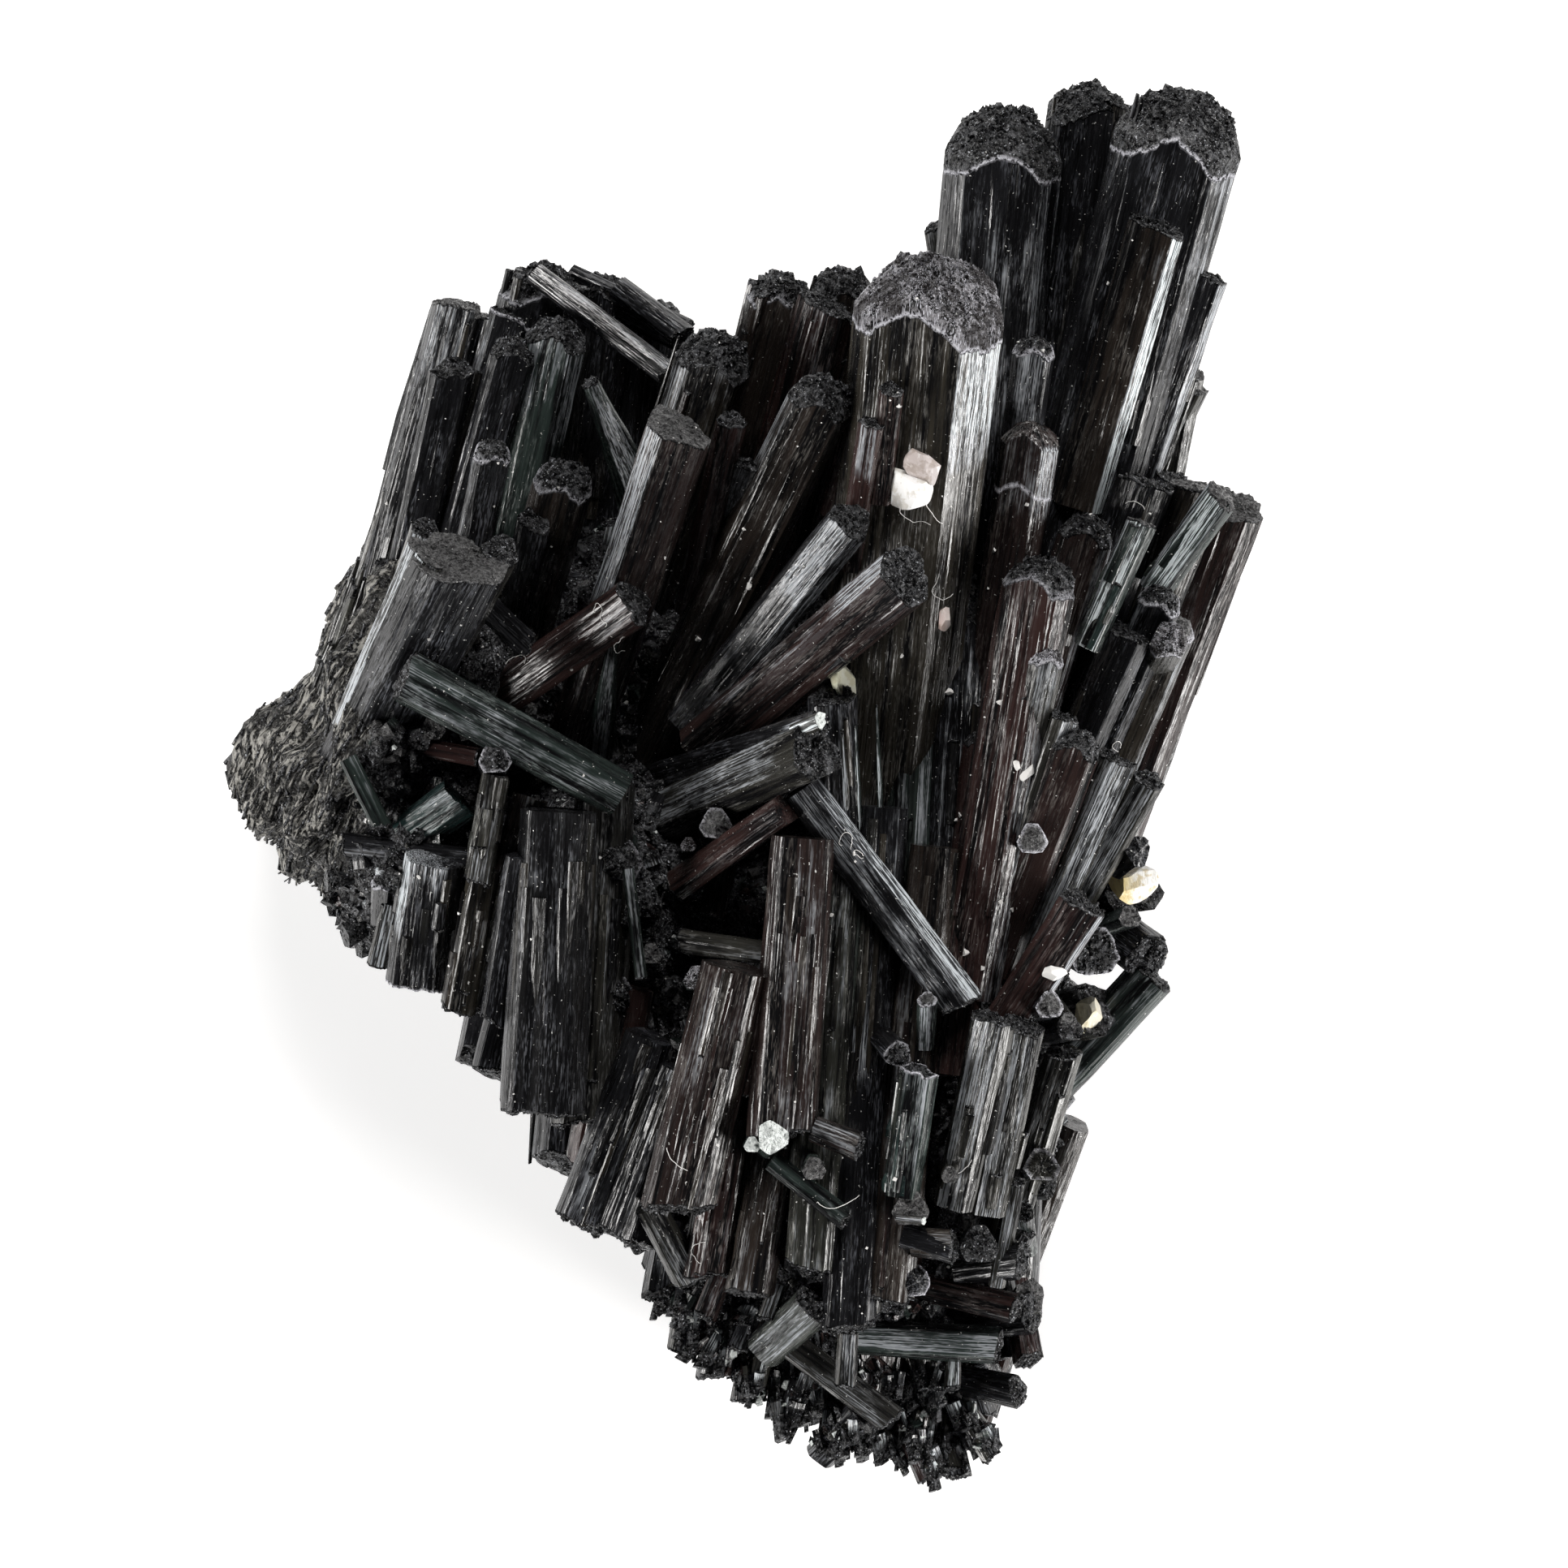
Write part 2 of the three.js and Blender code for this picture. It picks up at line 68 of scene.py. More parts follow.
def soft_box(name, place, size, power, warmth=1.0):
    """A soft box of this size, in metres, that looks at the cluster from its place."""
    light = bpy.data.lights.new(name, "AREA")
    light.shape = "RECTANGLE"
    light.size, light.size_y = size
    light.energy = power
    light.color = (1.0, 0.98 * warmth, 0.96 * warmth)
    box = bpy.data.objects.new(name, light)
    box.location = place
    aim = CLUSTER_MIDDLE - Vector(place)
    box.rotation_euler = aim.to_track_quat("-Z", "Y").to_euler()
    bpy.context.collection.objects.link(box)


soft_box("box_right_low", (0.55, -0.16, 0.10), (0.50, 0.12), 3.8)
soft_box("box_right", (0.44, -0.30, 0.30), (0.12, 0.20), 1.8)
soft_box("box_left", (-0.56, -0.18, 0.20), (0.44, 0.20), 4.8)
soft_box("box_behind", (0.06, 0.60, 0.46), (0.50, 0.14), 4.5)

room = bpy.data.worlds.new("pale_room")
room.use_nodes = True
room_tree = room.node_tree
sky = room_tree.nodes.new("ShaderNodeTexCoord")
height = room_tree.nodes.new("ShaderNodeSeparateXYZ")
glow = room_tree.nodes.new("ShaderNodeValToRGB")
room_tree.links.new(sky.outputs["Generated"], height.inputs["Vector"])
room_tree.links.new(height.outputs["Z"], glow.inputs["Fac"])
room_tree.links.new(glow.outputs["Color"], room_tree.nodes["Background"].inputs["Color"])
glow.color_ramp.elements[0].position = 0.05
glow.color_ramp.elements[0].color = (0.80, 0.84, 0.90, 1)
glow.color_ramp.elements[1].position = 0.24
glow.color_ramp.elements[1].color = (0.010, 0.011, 0.013, 1)
room_tree.nodes["Background"].inputs["Strength"].default_value = 1.0
bpy.context.scene.world = room
bpy.context.scene.view_settings.view_transform = "Standard"

# The camera looks straight down at the display side from a metre away, with the cluster's top at the top
# of the picture. The frame is 96.6 mm wide at the height of the crystals, 18 mm above the sheet.
CAMERA_HEIGHT = 1.0
CRYSTAL_HEIGHT = 0.018
FRAME_WIDTH = 0.0966
FRAME_MIDDLE = (2.35 * MM, -0.2 * MM)
SENSOR_WIDTH = 36
camera_data = bpy.data.cameras.new("camera")
camera_data.sensor_width = SENSOR_WIDTH
camera_data.lens = SENSOR_WIDTH * (CAMERA_HEIGHT - CRYSTAL_HEIGHT) / FRAME_WIDTH
camera = bpy.data.objects.new("camera", camera_data)
camera.location = (*FRAME_MIDDLE, CAMERA_HEIGHT)
bpy.context.collection.objects.link(camera)
bpy.context.scene.camera = camera

# The tall crystals at the top: two broad prisms of black schorl with a dark one recessed between them, a
# thin one in front and ribs on the right. Each is a three-sided prism with blunted corners, ribbed along
# its length as it grew, with a low sugary dome or a broken end.
DOME = "dome"
BROKEN = "broken"
POINT = "point"
BLACK = 0.5
BROWN = 0.12
GREEN = 0.88
GREY = 0.66
# The front face and the two bevels beside it, as numbers round the prism, and marks for the prism's end.
FRONT = 0
RIGHT = 1
LEFT = 5
END = 8
RIM = 9
DROP = 10
PLAIN = 0
COALY = 1
MATTE = 2
SUGARY = 3
GLINTING = -1
LONG_FACE_HALF_ANGLE = 39
RING_STEP = 1.5
FEWEST_RINGS = 3
MOST_RINGS = 11
THIN_WIDTH = 1.7
CAP_STEP = 0.34
END_LEAN = 0.22
POINT_START = 0.35
ROD_RIB_WIDTH = 0.25
CRUMB_PATTERN_OFFSET = Vector((9, 9, 9))
# Each prism is: foot, tip, width, turn of its front face, end, tone, and the stretches of its faces where a
# pale sheen is painted on, a painted highlight for the light that the ribs catch: which face, from and to
# which share of its length, and how much. A stretch without the shares runs the whole length. END says
# whether its end is plain like the sides, coaly, which is the usual one, matte grey, sugary and pale with
# painted sparkles, or glass-like and painted bright as a glint, RIM how pale the rim of its end is, and DROP
# how far down its sides that end reaches.
TALL_CRYSTALS = [
    (
        (13.4, 14.0, 14.0), (16.1, 41.4, 19.5), 7.3, 2, DOME, BLACK,
        (FRONT, 0.3, 0.8, 0.2), (RIGHT, 0.3, 1, 0.3), (RIM, 1), (DROP, 1.2),
    ),
    ((17.6, 14.0, 12.5), (21.6, 43.0, 15.5), 6.6, 20, DOME, BLACK),
    (
        (19.8, 14.0, 16.0), (27.4, 42.4, 20.5), 8.2, 0, DOME, BLACK,
        (RIGHT, 0.72, 1, 0.4), (FRONT, 0.2, 0.6, 0.15), (RIM, 1), (DROP, 1.4),
    ),
    ((20.4, 17.0, 19.0), (25.3, 34.4, 23.4), 3.7, -2, BROKEN, 0.36, (RIGHT, 1.3), (FRONT, 0.85, 1, 0.2)),
    ((23.4, 17.0, 16.5), (28.2, 31.6, 19.5), 3.2, 8, BROKEN, BLACK, (RIGHT, 0.8), (LEFT, 0, 0.8, 0.8)),
    ((20.4, 10.0, 8.0), (27.4, 25.3, 13.0), 3.2, 10, BROKEN, GREY, (FRONT, 0.4, 1, 0.3), (END, MATTE)),
    ((26.0, 17.5, 11.0), (27.5, 25.6, 13.0), 2.2, -20, BROKEN, GREY, (FRONT, 0.2, 1, 0.3), (END, MATTE)),
    ((12.4, 29.0, 14.5), (11.6, 34.4, 15.5), 1.3, 0, BROKEN, GREY, (FRONT, 0.2, 1, 0.2)),
]


def prism_corners(width, dice):
    """The six corners of a prism: three long faces with three short ones between them."""
    corners = []
    for pair in range(3):
        for side in (-1, 1):
            angle = math.radians(-90 + 120 * pair + side * LONG_FACE_HALF_ANGLE)
            radius = width / 2 * (1 + 0.08 * (dice.random() - 0.5))
            corners.append(Vector((radius * math.cos(angle), radius * math.sin(angle))))
    return corners


def ribbed_outline(width, rib_width, dice):
    """Points round a prism, with its fine lengthwise ribs, and the face that each point is on."""
    corners = prism_corners(width, dice)
    points, faces = [], []
    for i, a in enumerate(corners):
        b = corners[(i + 1) % 6]
        steps = max(3, round((b - a).length / rib_width))
        outward = Vector((b.y - a.y, a.x - b.x)).normalized()
        for k in range(steps):
            belly = 4 * (k / steps) * (1 - k / steps)
            rib = dice.uniform(-1, 1) * min(0.010, 0.005 * width)
            points.append(a.lerp(b, k / steps) + outward * (0.02 * width * belly + (rib if k else 0)))
            faces.append(i)
    return points, faces


def prism_end(end, length, width, dice):
    """The height of a prism's end over each point of its cross-section."""
    lean = Vector((dice.uniform(-END_LEAN, END_LEAN), dice.uniform(-END_LEAN, END_LEAN)))
    spot = dice.uniform(0, 90)
    facing = [Vector((math.cos(a), math.sin(a))) for a in (math.pi / 2, -math.pi / 6, -5 * math.pi / 6)]
    chip_side = Vector((math.cos(spot), math.sin(spot)))
    chip_at = dice.uniform(0.0, 0.3) * width
    cell = max(0.35, 0.11 * width)

    def grains(point, size):
        return noise.noise(Vector((point.x / size, point.y / size, spot)))

    def steps(point):
        nearest = noise.voronoi(Vector((point.x / cell, point.y / cell, spot)))[1][0]
        return noise.noise(nearest * 7.3)

    def dome(point):
        fall = 0.42 * max(point.dot(face) for face in facing)
        shoulder = 0.2 * width * (2 * point.length / width) ** 3
        return length - fall - shoulder + 0.45 * cell * steps(point) + 0.12 * grains(point, 0.3)

    def broken(point):
        chip = 0.1 * width if point.dot(chip_side) > chip_at else 0
        rough = 0.06 * width * grains(point, 0.3 * width) + 0.3 * cell * steps(point)
        return length - 0.06 * width + lean.dot(point) - chip + rough + 0.08 * grains(point, 0.3)

    return dome if end == DOME else broken


def taper(end, share):
    """How wide a prism is at this share of its length."""
    if end == POINT and share > POINT_START:
        return 0.94 - 0.64 * (share - POINT_START) / (1 - POINT_START)
    return 0.9 + 0.1 * share


def stand(foot, tip, turn):
    """Stands a prism on its foot, pointing at its tip, with its front face towards the viewer."""
    axis = (tip - foot).normalized()
    viewer = Vector((0, 0, 1)) if abs(axis.z) < 0.9 else Vector((0, -1, 0))
    back = -(viewer - axis * viewer.dot(axis)).normalized()
    back.rotate(Quaternion(axis, math.radians(turn)))
    right = back.cross(axis)
    place = Matrix((right, back, axis)).transposed().to_4x4()
    place.translation = foot
    return place


def next_ring(shell, edges):
    """Extrudes an open ring of edges once more and gives the new ring's edges and points."""
    made = bmesh.ops.extrude_edge_only(shell, edges=edges)["geom"]
    points = {g for g in made if isinstance(g, bmesh.types.BMVert)}
    ring = [
        g
        for g in made
        if isinstance(g, bmesh.types.BMEdge) and g.verts[0] in points and g.verts[1] in points
    ]
    return ring, points


def anywhere(dice, low, high):
    """A random place between two bounds in x, y and z."""
    return Vector([dice.uniform(low, high) for _ in range(3)])


def new_shell():
    """An empty mesh with the layers that the schorl's finish reads."""
    shell = bmesh.new()
    shell.verts.layers.float_vector.new("grain")
    shell.verts.layers.float_vector.new("look")
    shell.verts.layers.float.new("painted_sheen")
    return shell


def add_crumb(shell, spot, size, look, dice):
    """Sets one angular crumb of schorl on a surface, in millimetres."""
    turned = Quaternion([dice.gauss(0, 1) for _ in range(4)]).normalized()
    shape = Matrix.Diagonal([size * dice.uniform(0.55, 1.25) for _ in range(3)]).to_4x4()
    place = Matrix.Translation(spot) @ turned.to_matrix().to_4x4() @ shape
    made = bmesh.ops.create_cone(
        shell, cap_ends=True, segments=4, radius1=0.62, radius2=0.38, depth=0.9, matrix=place
    )["verts"]
    for vert in made:
        vert[shell.verts.layers.float_vector["grain"]] = vert.co + CRUMB_PATTERN_OFFSET
        vert[shell.verts.layers.float_vector["look"]] = look


def stretch_strength(stretches, face, share):
    """A face's painted sheen at this share of the prism's length, or for RIM how pale its rim is."""
    most = 0
    soft = 0.06
    for side, *shares, strength in stretches:
        if side == face:
            low, high = shares or (0, 1)
            inside = min(1, max(0, (share - low) / soft + 1)) * min(1, max(0, (high - share) / soft + 1))
            most = max(most, strength * inside)
    return most


def merge(group, shell):
    """Moves everything in a small mesh into its group."""
    part = bpy.data.meshes.new("part")
    shell.to_mesh(part)
    shell.free()
    group.from_mesh(part)
    bpy.data.meshes.remove(part)


def cut_away(shell, place, outward):
    """Cuts off what lies past a plane and closes the cut."""
    made = bmesh.ops.bisect_plane(
        shell,
        geom=[*shell.verts, *shell.edges, *shell.faces],
        plane_co=place,
        plane_no=outward,
        clear_outer=True,
    )["geom_cut"]
    bmesh.ops.edgenet_fill(shell, edges=[g for g in made if isinstance(g, bmesh.types.BMEdge)])


def prism_rings(length, width, rim_at, drop):
    """A prism's rings from foot to tip: each one's share of the length, and how far it is drawn in."""
    most = FEWEST_RINGS if width < THIN_WIDTH else MOST_RINGS
    count = min(most, max(FEWEST_RINGS, round(length / RING_STEP)))
    body = [k / count for k in range(count) if k / count < rim_at - 0.3 / length]
    body += [rim_at - 0.22 / length, rim_at]
    if drop:
        body += [rim_at + 0.25 / length, 1]
    caps = max(2, round(width / 2 / CAP_STEP))
    return [(share, 1.0) for share in body] + [(1.0, 1 - (k + 1) / (caps + 0.6)) for k in range(caps)]


def grow_prism(
    group, dice, foot, tip, width, turn, end, tone, *stretches, rib_width=0.13, crumbs=0, cut=None
):
    """Grows one prism of schorl, in millimetres, and adds it to the group."""
    foot, tip = Vector(foot), Vector(tip)
    length = (tip - foot).length
    outline, faces = ribbed_outline(width, rib_width, dice)
    count = len(outline)
    top = prism_end(end, length, width, dice)
    break_kind = next((stretch[-1] for stretch in stretches if stretch[0] == END), COALY)
    drop = next((stretch[-1] for stretch in stretches if stretch[0] == DROP), 0)
    rim_at = 1 - drop / length
    pale_rim = stretch_strength(stretches, RIM, 1)
    start = anywhere(dice, 0, 50)
    ledges = [dice.uniform(0, 90)]
    for _ in range(count):
        ledges.append(ledges[-1] + (dice.uniform(0.4, 1.2) if dice.random() < 0.2 else 0.03))

    shell = new_shell()
    place = shell.verts.layers.int.new("place")
    grain = shell.verts.layers.float_vector["grain"]
    look = shell.verts.layers.float_vector["look"]
    painted_sheen = shell.verts.layers.float["painted_sheen"]
    ring_points = bmesh.ops.create_circle(shell, cap_ends=True, segments=count, radius=1)["verts"]
    for i, vert in enumerate(ring_points):
        vert[place] = i
    edges = list(shell.edges)
    for number, (share, inward) in enumerate(prism_rings(length, width, rim_at, drop)):
        if number:
            edges, ring_points = next_ring(shell, edges)
        wide = taper(end, share)
        for vert in ring_points:
            i = vert[place]
            flat = outline[i] * wide * inward
            ledge = noise.noise(Vector((ledges[i], share * length / 3.0, start.x)))
            flat += outline[i].normalized() * ledge * min(0.09, 0.024 * width) * inward
            high = top(outline[i] * inward if end != POINT else flat)
            vert.co = (flat.x, flat.y, high * share)
            vert[grain] = start + vert.co
            on_rim = share == rim_at and inward == 1
            vert[look] = (tone, break_kind if share >= rim_at else 0.0, pale_rim if on_rim else 0.0)
            vert[painted_sheen] = stretch_strength(stretches, faces[i], share) if inward == 1 else 0
    bmesh.ops.contextual_create(shell, geom=edges)
    bmesh.ops.recalc_face_normals(shell, faces=shell.faces)
    for _ in range({COALY: crumbs, MATTE: crumbs // 3, SUGARY: crumbs}.get(break_kind, 0)):
        point = outline[dice.randrange(count)] * 0.86 * dice.random() ** 0.5 * taper(end, 1)
        spot = Vector((point.x, point.y, top(point)))
        size = min(0.5, 0.12 + dice.uniform(0.02, 0.08) * width) * (1 if break_kind == COALY else 0.6)
        add_crumb(shell, spot, size, (tone, break_kind, 0.0), dice)
    shell.transform(stand(foot, tip, turn))
    if cut is not None:
        cut_away(shell, (0, 0, cut), (0, 0, -1))
    merge(group, shell)


def grow_crystals(group, dice, crystals, crumb_share=5, rib_width=0.13):
    """Grows each crystal of a list, with more crumbs on the wider ends."""
    for spec in crystals:
        grow_prism(group, dice, *spec, rib_width=rib_width, crumbs=round(crumb_share * spec[2] ** 2))


def grow_rods(group, dice, spec, count, thinnest, thickest):
    """Grows thin rods of schorl along a prism's visible sides, each with its own length."""
    foot, tip, width, turn, _, tone = spec[:6]
    foot, tip = Vector(foot), Vector(tip)
    place = stand(foot, tip, turn)
    length = (tip - foot).length
    for _ in range(count):
        angle = dice.uniform(-95, 95)
        thin = dice.uniform(thinnest, thickest)
        half = LONG_FACE_HALF_ANGLE if abs(angle) <= LONG_FACE_HALF_ANGLE else 60 - LONG_FACE_HALF_ANGLE
        off = angle if abs(angle) <= LONG_FACE_HALF_ANGLE else abs(angle) - 60
        off = min(abs(off), LONG_FACE_HALF_ANGLE)
        radius = width / 2 * math.cos(math.radians(half)) / math.cos(math.radians(off))
        radius = radius * 0.96 - thin * dice.uniform(0.22, 0.42)
        around = math.radians(angle - 90)
        low = dice.uniform(0.0, 0.6)
        high = min(0.97, low + dice.uniform(0.18, 0.7))
        x, y = radius * math.cos(around), radius * math.sin(around)
        rod_foot = place @ Vector((x, y, low * length))
        rod_tip = place @ Vector((x + dice.uniform(-0.1, 0.1), y, high * length))
        rod_tone = min(1, max(0, tone + dice.uniform(-0.1, 0.1)))
        # One rod in five gets a faint painted highlight along its front.
        wear_and_sheen = (FRONT, dice.choice((0, 0, 0, 0, 0.1)))
        end = dice.choice((BROKEN, POINT, POINT))
        grow_prism(
            group, dice, rod_foot, rod_tip, thin, turn + angle, end, rod_tone, wear_and_sheen, rib_width=ROD_RIB_WIDTH
        )


def keep_piece(group, name, paint, slot, *nodes):
    """Turns a group built in millimetres into a finished piece of the cluster."""
    for vert in group.verts:
        vert.co.z = max(0.0, vert.co.z)
    bmesh.ops.scale(group, vec=(MM, MM, MM), verts=group.verts)
    mesh = bpy.data.meshes.new(name)
    group.to_mesh(mesh)
    group.free()
    mesh.materials.append(paint)
    piece = bpy.data.objects.new(name, mesh)
    bpy.context.collection.objects.link(piece)
    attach(piece, "root")
    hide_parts(*nodes)


class Finish:
    """A material's nodes, wired one after another."""

    def __init__(self, name):
        self.material = bpy.data.materials.new(name)
        self.material.use_nodes = True
        self.tree = self.material.node_tree
        self.shader = self.tree.nodes["Principled BSDF"]

    def wire(self, socket, value):
        """Feeds a socket from another one, or sets it to a fixed value."""
        if isinstance(value, bpy.types.NodeSocket):
            self.tree.links.new(value, socket)
        else:
            socket.default_value = value

    def set(self, name, value):
        self.wire(self.shader.inputs[name], value)

    def node(self, kind, **inputs):
        made = self.tree.nodes.new(kind)
        for key, value in inputs.items():
            self.wire(made.inputs[key], value)
        return made

    def attribute(self, name, output="Vector"):
        made = self.node("ShaderNodeAttribute")
        made.attribute_name = name
        return made.outputs[output]

    def stretch(self, vector, scale):
        return self.node("ShaderNodeMapping", Vector=vector, Scale=scale).outputs["Vector"]

    def grain(self, vector, scale, detail=3.0, roughness=0.6):
        noises = {"Vector": vector, "Scale": scale, "Detail": detail, "Roughness": roughness}
        return self.node("ShaderNodeTexNoise", **noises).outputs["Fac"]

    def between(self, value, low, high, start=0.0, end=1.0):
        made = self.node(
            "ShaderNodeMapRange",
            Value=value,
            **{"From Min": low, "From Max": high, "To Min": start, "To Max": end},
        )
        made.interpolation_type = "SMOOTHSTEP"
        return made.outputs["Result"]

    def reckon(self, operation, a, b):
        made = self.tree.nodes.new("ShaderNodeMath")
        made.operation = operation
        self.wire(made.inputs[0], a)
        self.wire(made.inputs[1], b)
        return made.outputs["Value"]

    def plus(self, a, b):
        return self.reckon("ADD", a, b)

    def times(self, a, b):
        return self.reckon("MULTIPLY", a, b)

    def weigh(self, a, share_a, b, share_b):
        """Adds two patterns, each by its share."""
        return self.plus(self.times(a, share_a), self.times(b, share_b))

    def blend(self, share, below, above):
        """Mixes two colours. A colour mix has its colours at sockets 6 and 7 and gives its result at 2."""
        made = self.tree.nodes.new("ShaderNodeMix")
        made.data_type = "RGBA"
        self.wire(made.inputs[0], share)
        self.wire(made.inputs[6], below)
        self.wire(made.inputs[7], above)
        return made.outputs[2]

    def ramp(self, value, *stops):
        made = self.node("ShaderNodeValToRGB", Fac=value)
        bands = made.color_ramp.elements
        for place, _ in stops[1:-1]:
            bands.new(place)
        for band, (place, colour) in zip(bands, stops):
            band.position, band.color = place, (*colour, 1)
        return made.outputs["Color"]

    def dusted(self, grain, colour):
        """Strews pale grains of dust over a colour."""
        dust = self.grain(grain, 5.0, 2.0, 0.5)
        return self.blend(self.between(dust, 0.715, 0.745, 0.0, 0.9), colour, (0.6, 0.6, 0.58, 1))

    def bump(self, height, strength, depth, below=None):
        """Raises a pattern by this depth in millimetres, over another bump if there is one."""
        under = {"Normal": below} if below else {}
        made = self.node("ShaderNodeBump", Height=height, Strength=strength, Distance=depth * MM, **under)
        return made.outputs["Normal"]


def schorl_finish():
    """Black schorl: dark glass-like faces, hair-fine broken lines, painted highlights, grey or coal-like
    ends, dust.
    """
    finish = Finish("schorl")
    grain = finish.attribute("grain")
    look = finish.node("ShaderNodeSeparateXYZ", Vector=finish.attribute("look"))
    tone, cap, rim = look.outputs["X"], look.outputs["Y"], look.outputs["Z"]
    painted_sheen = finish.attribute("painted_sheen", "Fac")

    threads = finish.grain(finish.stretch(grain, (1, 1, 0.055)), 8.0, 2.0, 0.7)
    hairs = finish.grain(finish.stretch(grain, (1, 1, 0.13)), 15.0, 1.0, 0.5)
    bands = finish.grain(finish.stretch(grain, (1, 1, 0.05)), 1.4, 3.0, 0.65)
    patches = finish.grain(finish.stretch(grain, (1, 1, 0.4)), 0.55, 4.0, 0.7)
    sugar = finish.grain(grain, 4.5, 3.0, 0.8)
    striae = finish.grain(finish.stretch(grain, (1, 1, 0.012)), 11.0, 2.0, 0.6)
    clumps = finish.grain(grain, 1.7, 2.0, 0.6)
    lines = finish.weigh(threads, 0.6, hairs, 0.4)
    combed = finish.weigh(lines, 0.4, striae, 0.6)
    lumpy = finish.weigh(clumps, 0.6, sugar, 0.4)

    stones = finish.ramp(
        tone,
        (0.0, (0.037, 0.018, 0.0165)),
        (0.3, (0.020, 0.0130, 0.0120)),
        (0.42, (0.026, 0.023, 0.018)),
        (0.5, (0.0075, 0.0075, 0.0085)),
        (0.72, (0.030, 0.029, 0.024)),
        (1.0, (0.013, 0.028, 0.027)),
    )
    scratches = finish.ramp(
        tone,
        (0.0, (0.108, 0.084, 0.079)),
        (0.42, (0.10, 0.095, 0.085)),
        (0.5, (0.10, 0.105, 0.12)),
        (0.72, (0.15, 0.145, 0.128)),
        (1.0, (0.09, 0.135, 0.132)),
    )
    colour = finish.blend(finish.between(bands, 0.38, 0.60), (0.004, 0.004, 0.0045, 1), stones)
    wear_and_sheen = finish.between(patches, 0.44, 0.68, 0.06, 1.0)
    line_share = finish.times(finish.between(lines, 0.505, 0.58, 0.0, 0.85), wear_and_sheen)
    colour = finish.blend(line_share, colour, scratches)
    ragged = finish.times(finish.plus(finish.plus(patches, bands), -1.0), 2.0)
    # Painted sheen: pale streaks painted on the stretches listed with each prism, a painted highlight where
    # the ribs would catch the lamps. Above one, it turns into a brighter painted flash.
    shown = finish.between(painted_sheen, 0.0, 0.2)
    painted_sheen_mask = finish.times(finish.between(finish.plus(painted_sheen, ragged), 0.1, 0.9), shown)
    painted_sheen_mask = finish.times(painted_sheen_mask, finish.between(combed, 0.47, 0.54, 0.04, 1.0))
    flash = finish.between(painted_sheen, 1.0, 1.5)
    painted_sheen_colour = finish.blend(flash, (0.345, 0.365, 0.39, 1), (0.77, 0.84, 0.86, 1))
    colour = finish.blend(painted_sheen_mask, colour, painted_sheen_colour)

    # Glinting ends are painted grey to near white: a painted reflection on their glass-like faces.
    glint_end_share = finish.between(finish.times(cap, -1.0), 0.2, 0.6)
    ended = finish.reckon("MAXIMUM", finish.between(cap, 0.2, 0.6), glint_end_share)
    glint_colour = finish.blend(finish.between(sugar, 0.32, 0.50), (0.30, 0.33, 0.32, 1), (0.84, 0.88, 0.86, 1))
    matte = finish.blend(finish.between(sugar, 0.35, 0.65), (0.035, 0.034, 0.035, 1), (0.13, 0.13, 0.13, 1))
    crust_share = finish.between(lumpy, 0.46, 0.62)
    crust = finish.blend(crust_share, (0.004, 0.004, 0.0045, 1), (0.085, 0.087, 0.092, 1))
    sugar_share = finish.between(lumpy, 0.46, 0.57)
    sugary = finish.blend(sugar_share, (0.007, 0.0065, 0.0068, 1), (0.24, 0.235, 0.25, 1))
    # Pale sparkles painted over the sugary end: painted glints.
    sugary = finish.blend(finish.between(hairs, 0.56, 0.62, 0.0, 0.85), sugary, (0.66, 0.66, 0.72, 1))
    sugary = finish.blend(finish.between(patches, 0.42, 0.56, 0.85, 0.0), sugary, (0.016, 0.013, 0.0128, 1))
    glints = finish.grain(grain, 7.0, 1.0, 0.5)
    crust = finish.blend(finish.between(glints, 0.69, 0.72, 0.0, 0.9), crust, (0.50, 0.52, 0.56, 1))
    broken = finish.blend(finish.between(cap, 1.1, 1.8), crust, matte)
    broken = finish.blend(finish.between(cap, 2.2, 2.8), broken, sugary)
    broken = finish.blend(glint_end_share, broken, glint_colour)
    colour = finish.blend(ended, colour, broken)
    rim_share = finish.times(rim, finish.between(sugar, 0.40, 0.52, 0.0, 0.95))
    colour = finish.blend(rim_share, colour, (0.68, 0.68, 0.74, 1))
    finish.set("Base Color", finish.dusted(grain, colour))

    finish.set("Roughness", finish.between(patches, 0.35, 0.7, 0.15, 0.34))
    finish.set("IOR", 1.54)
    rough = finish.times(sugar, ended)
    sheen = finish.between(finish.weigh(lines, 0.6, bands, 0.4), 0.43, 0.55, 0.06, 0.6)
    sheen = finish.times(sheen, finish.reckon("SUBTRACT", 1.0, ended))
    finish.set("Specular IOR Level", finish.plus(sheen, finish.between(rough, 0.40, 0.62, 0.0, 0.6)))

    strength = finish.plus(finish.times(wear_and_sheen, 0.45), finish.plus(painted_sheen, 0.25))
    relief = finish.bump(lines, strength, 0.07, below=finish.bump(bands, 0.6, 0.12))
    finish.set("Normal", finish.bump(rough, 1.0, 0.35, below=relief))
    return finish.material


schorl = schorl_finish()
dice = random.Random(11)
group = new_shell()
grow_crystals(group, dice, TALL_CRYSTALS)
grow_rods(group, dice, TALL_CRYSTALS[2], 9, 0.5, 1.3)
grow_rods(group, dice, TALL_CRYSTALS[1], 8, 0.6, 1.6)
grow_rods(group, dice, TALL_CRYSTALS[4], 7, 0.4, 0.9)
keep_piece(group, "tall_crystals", schorl, "schorl", "schorl_cluster")

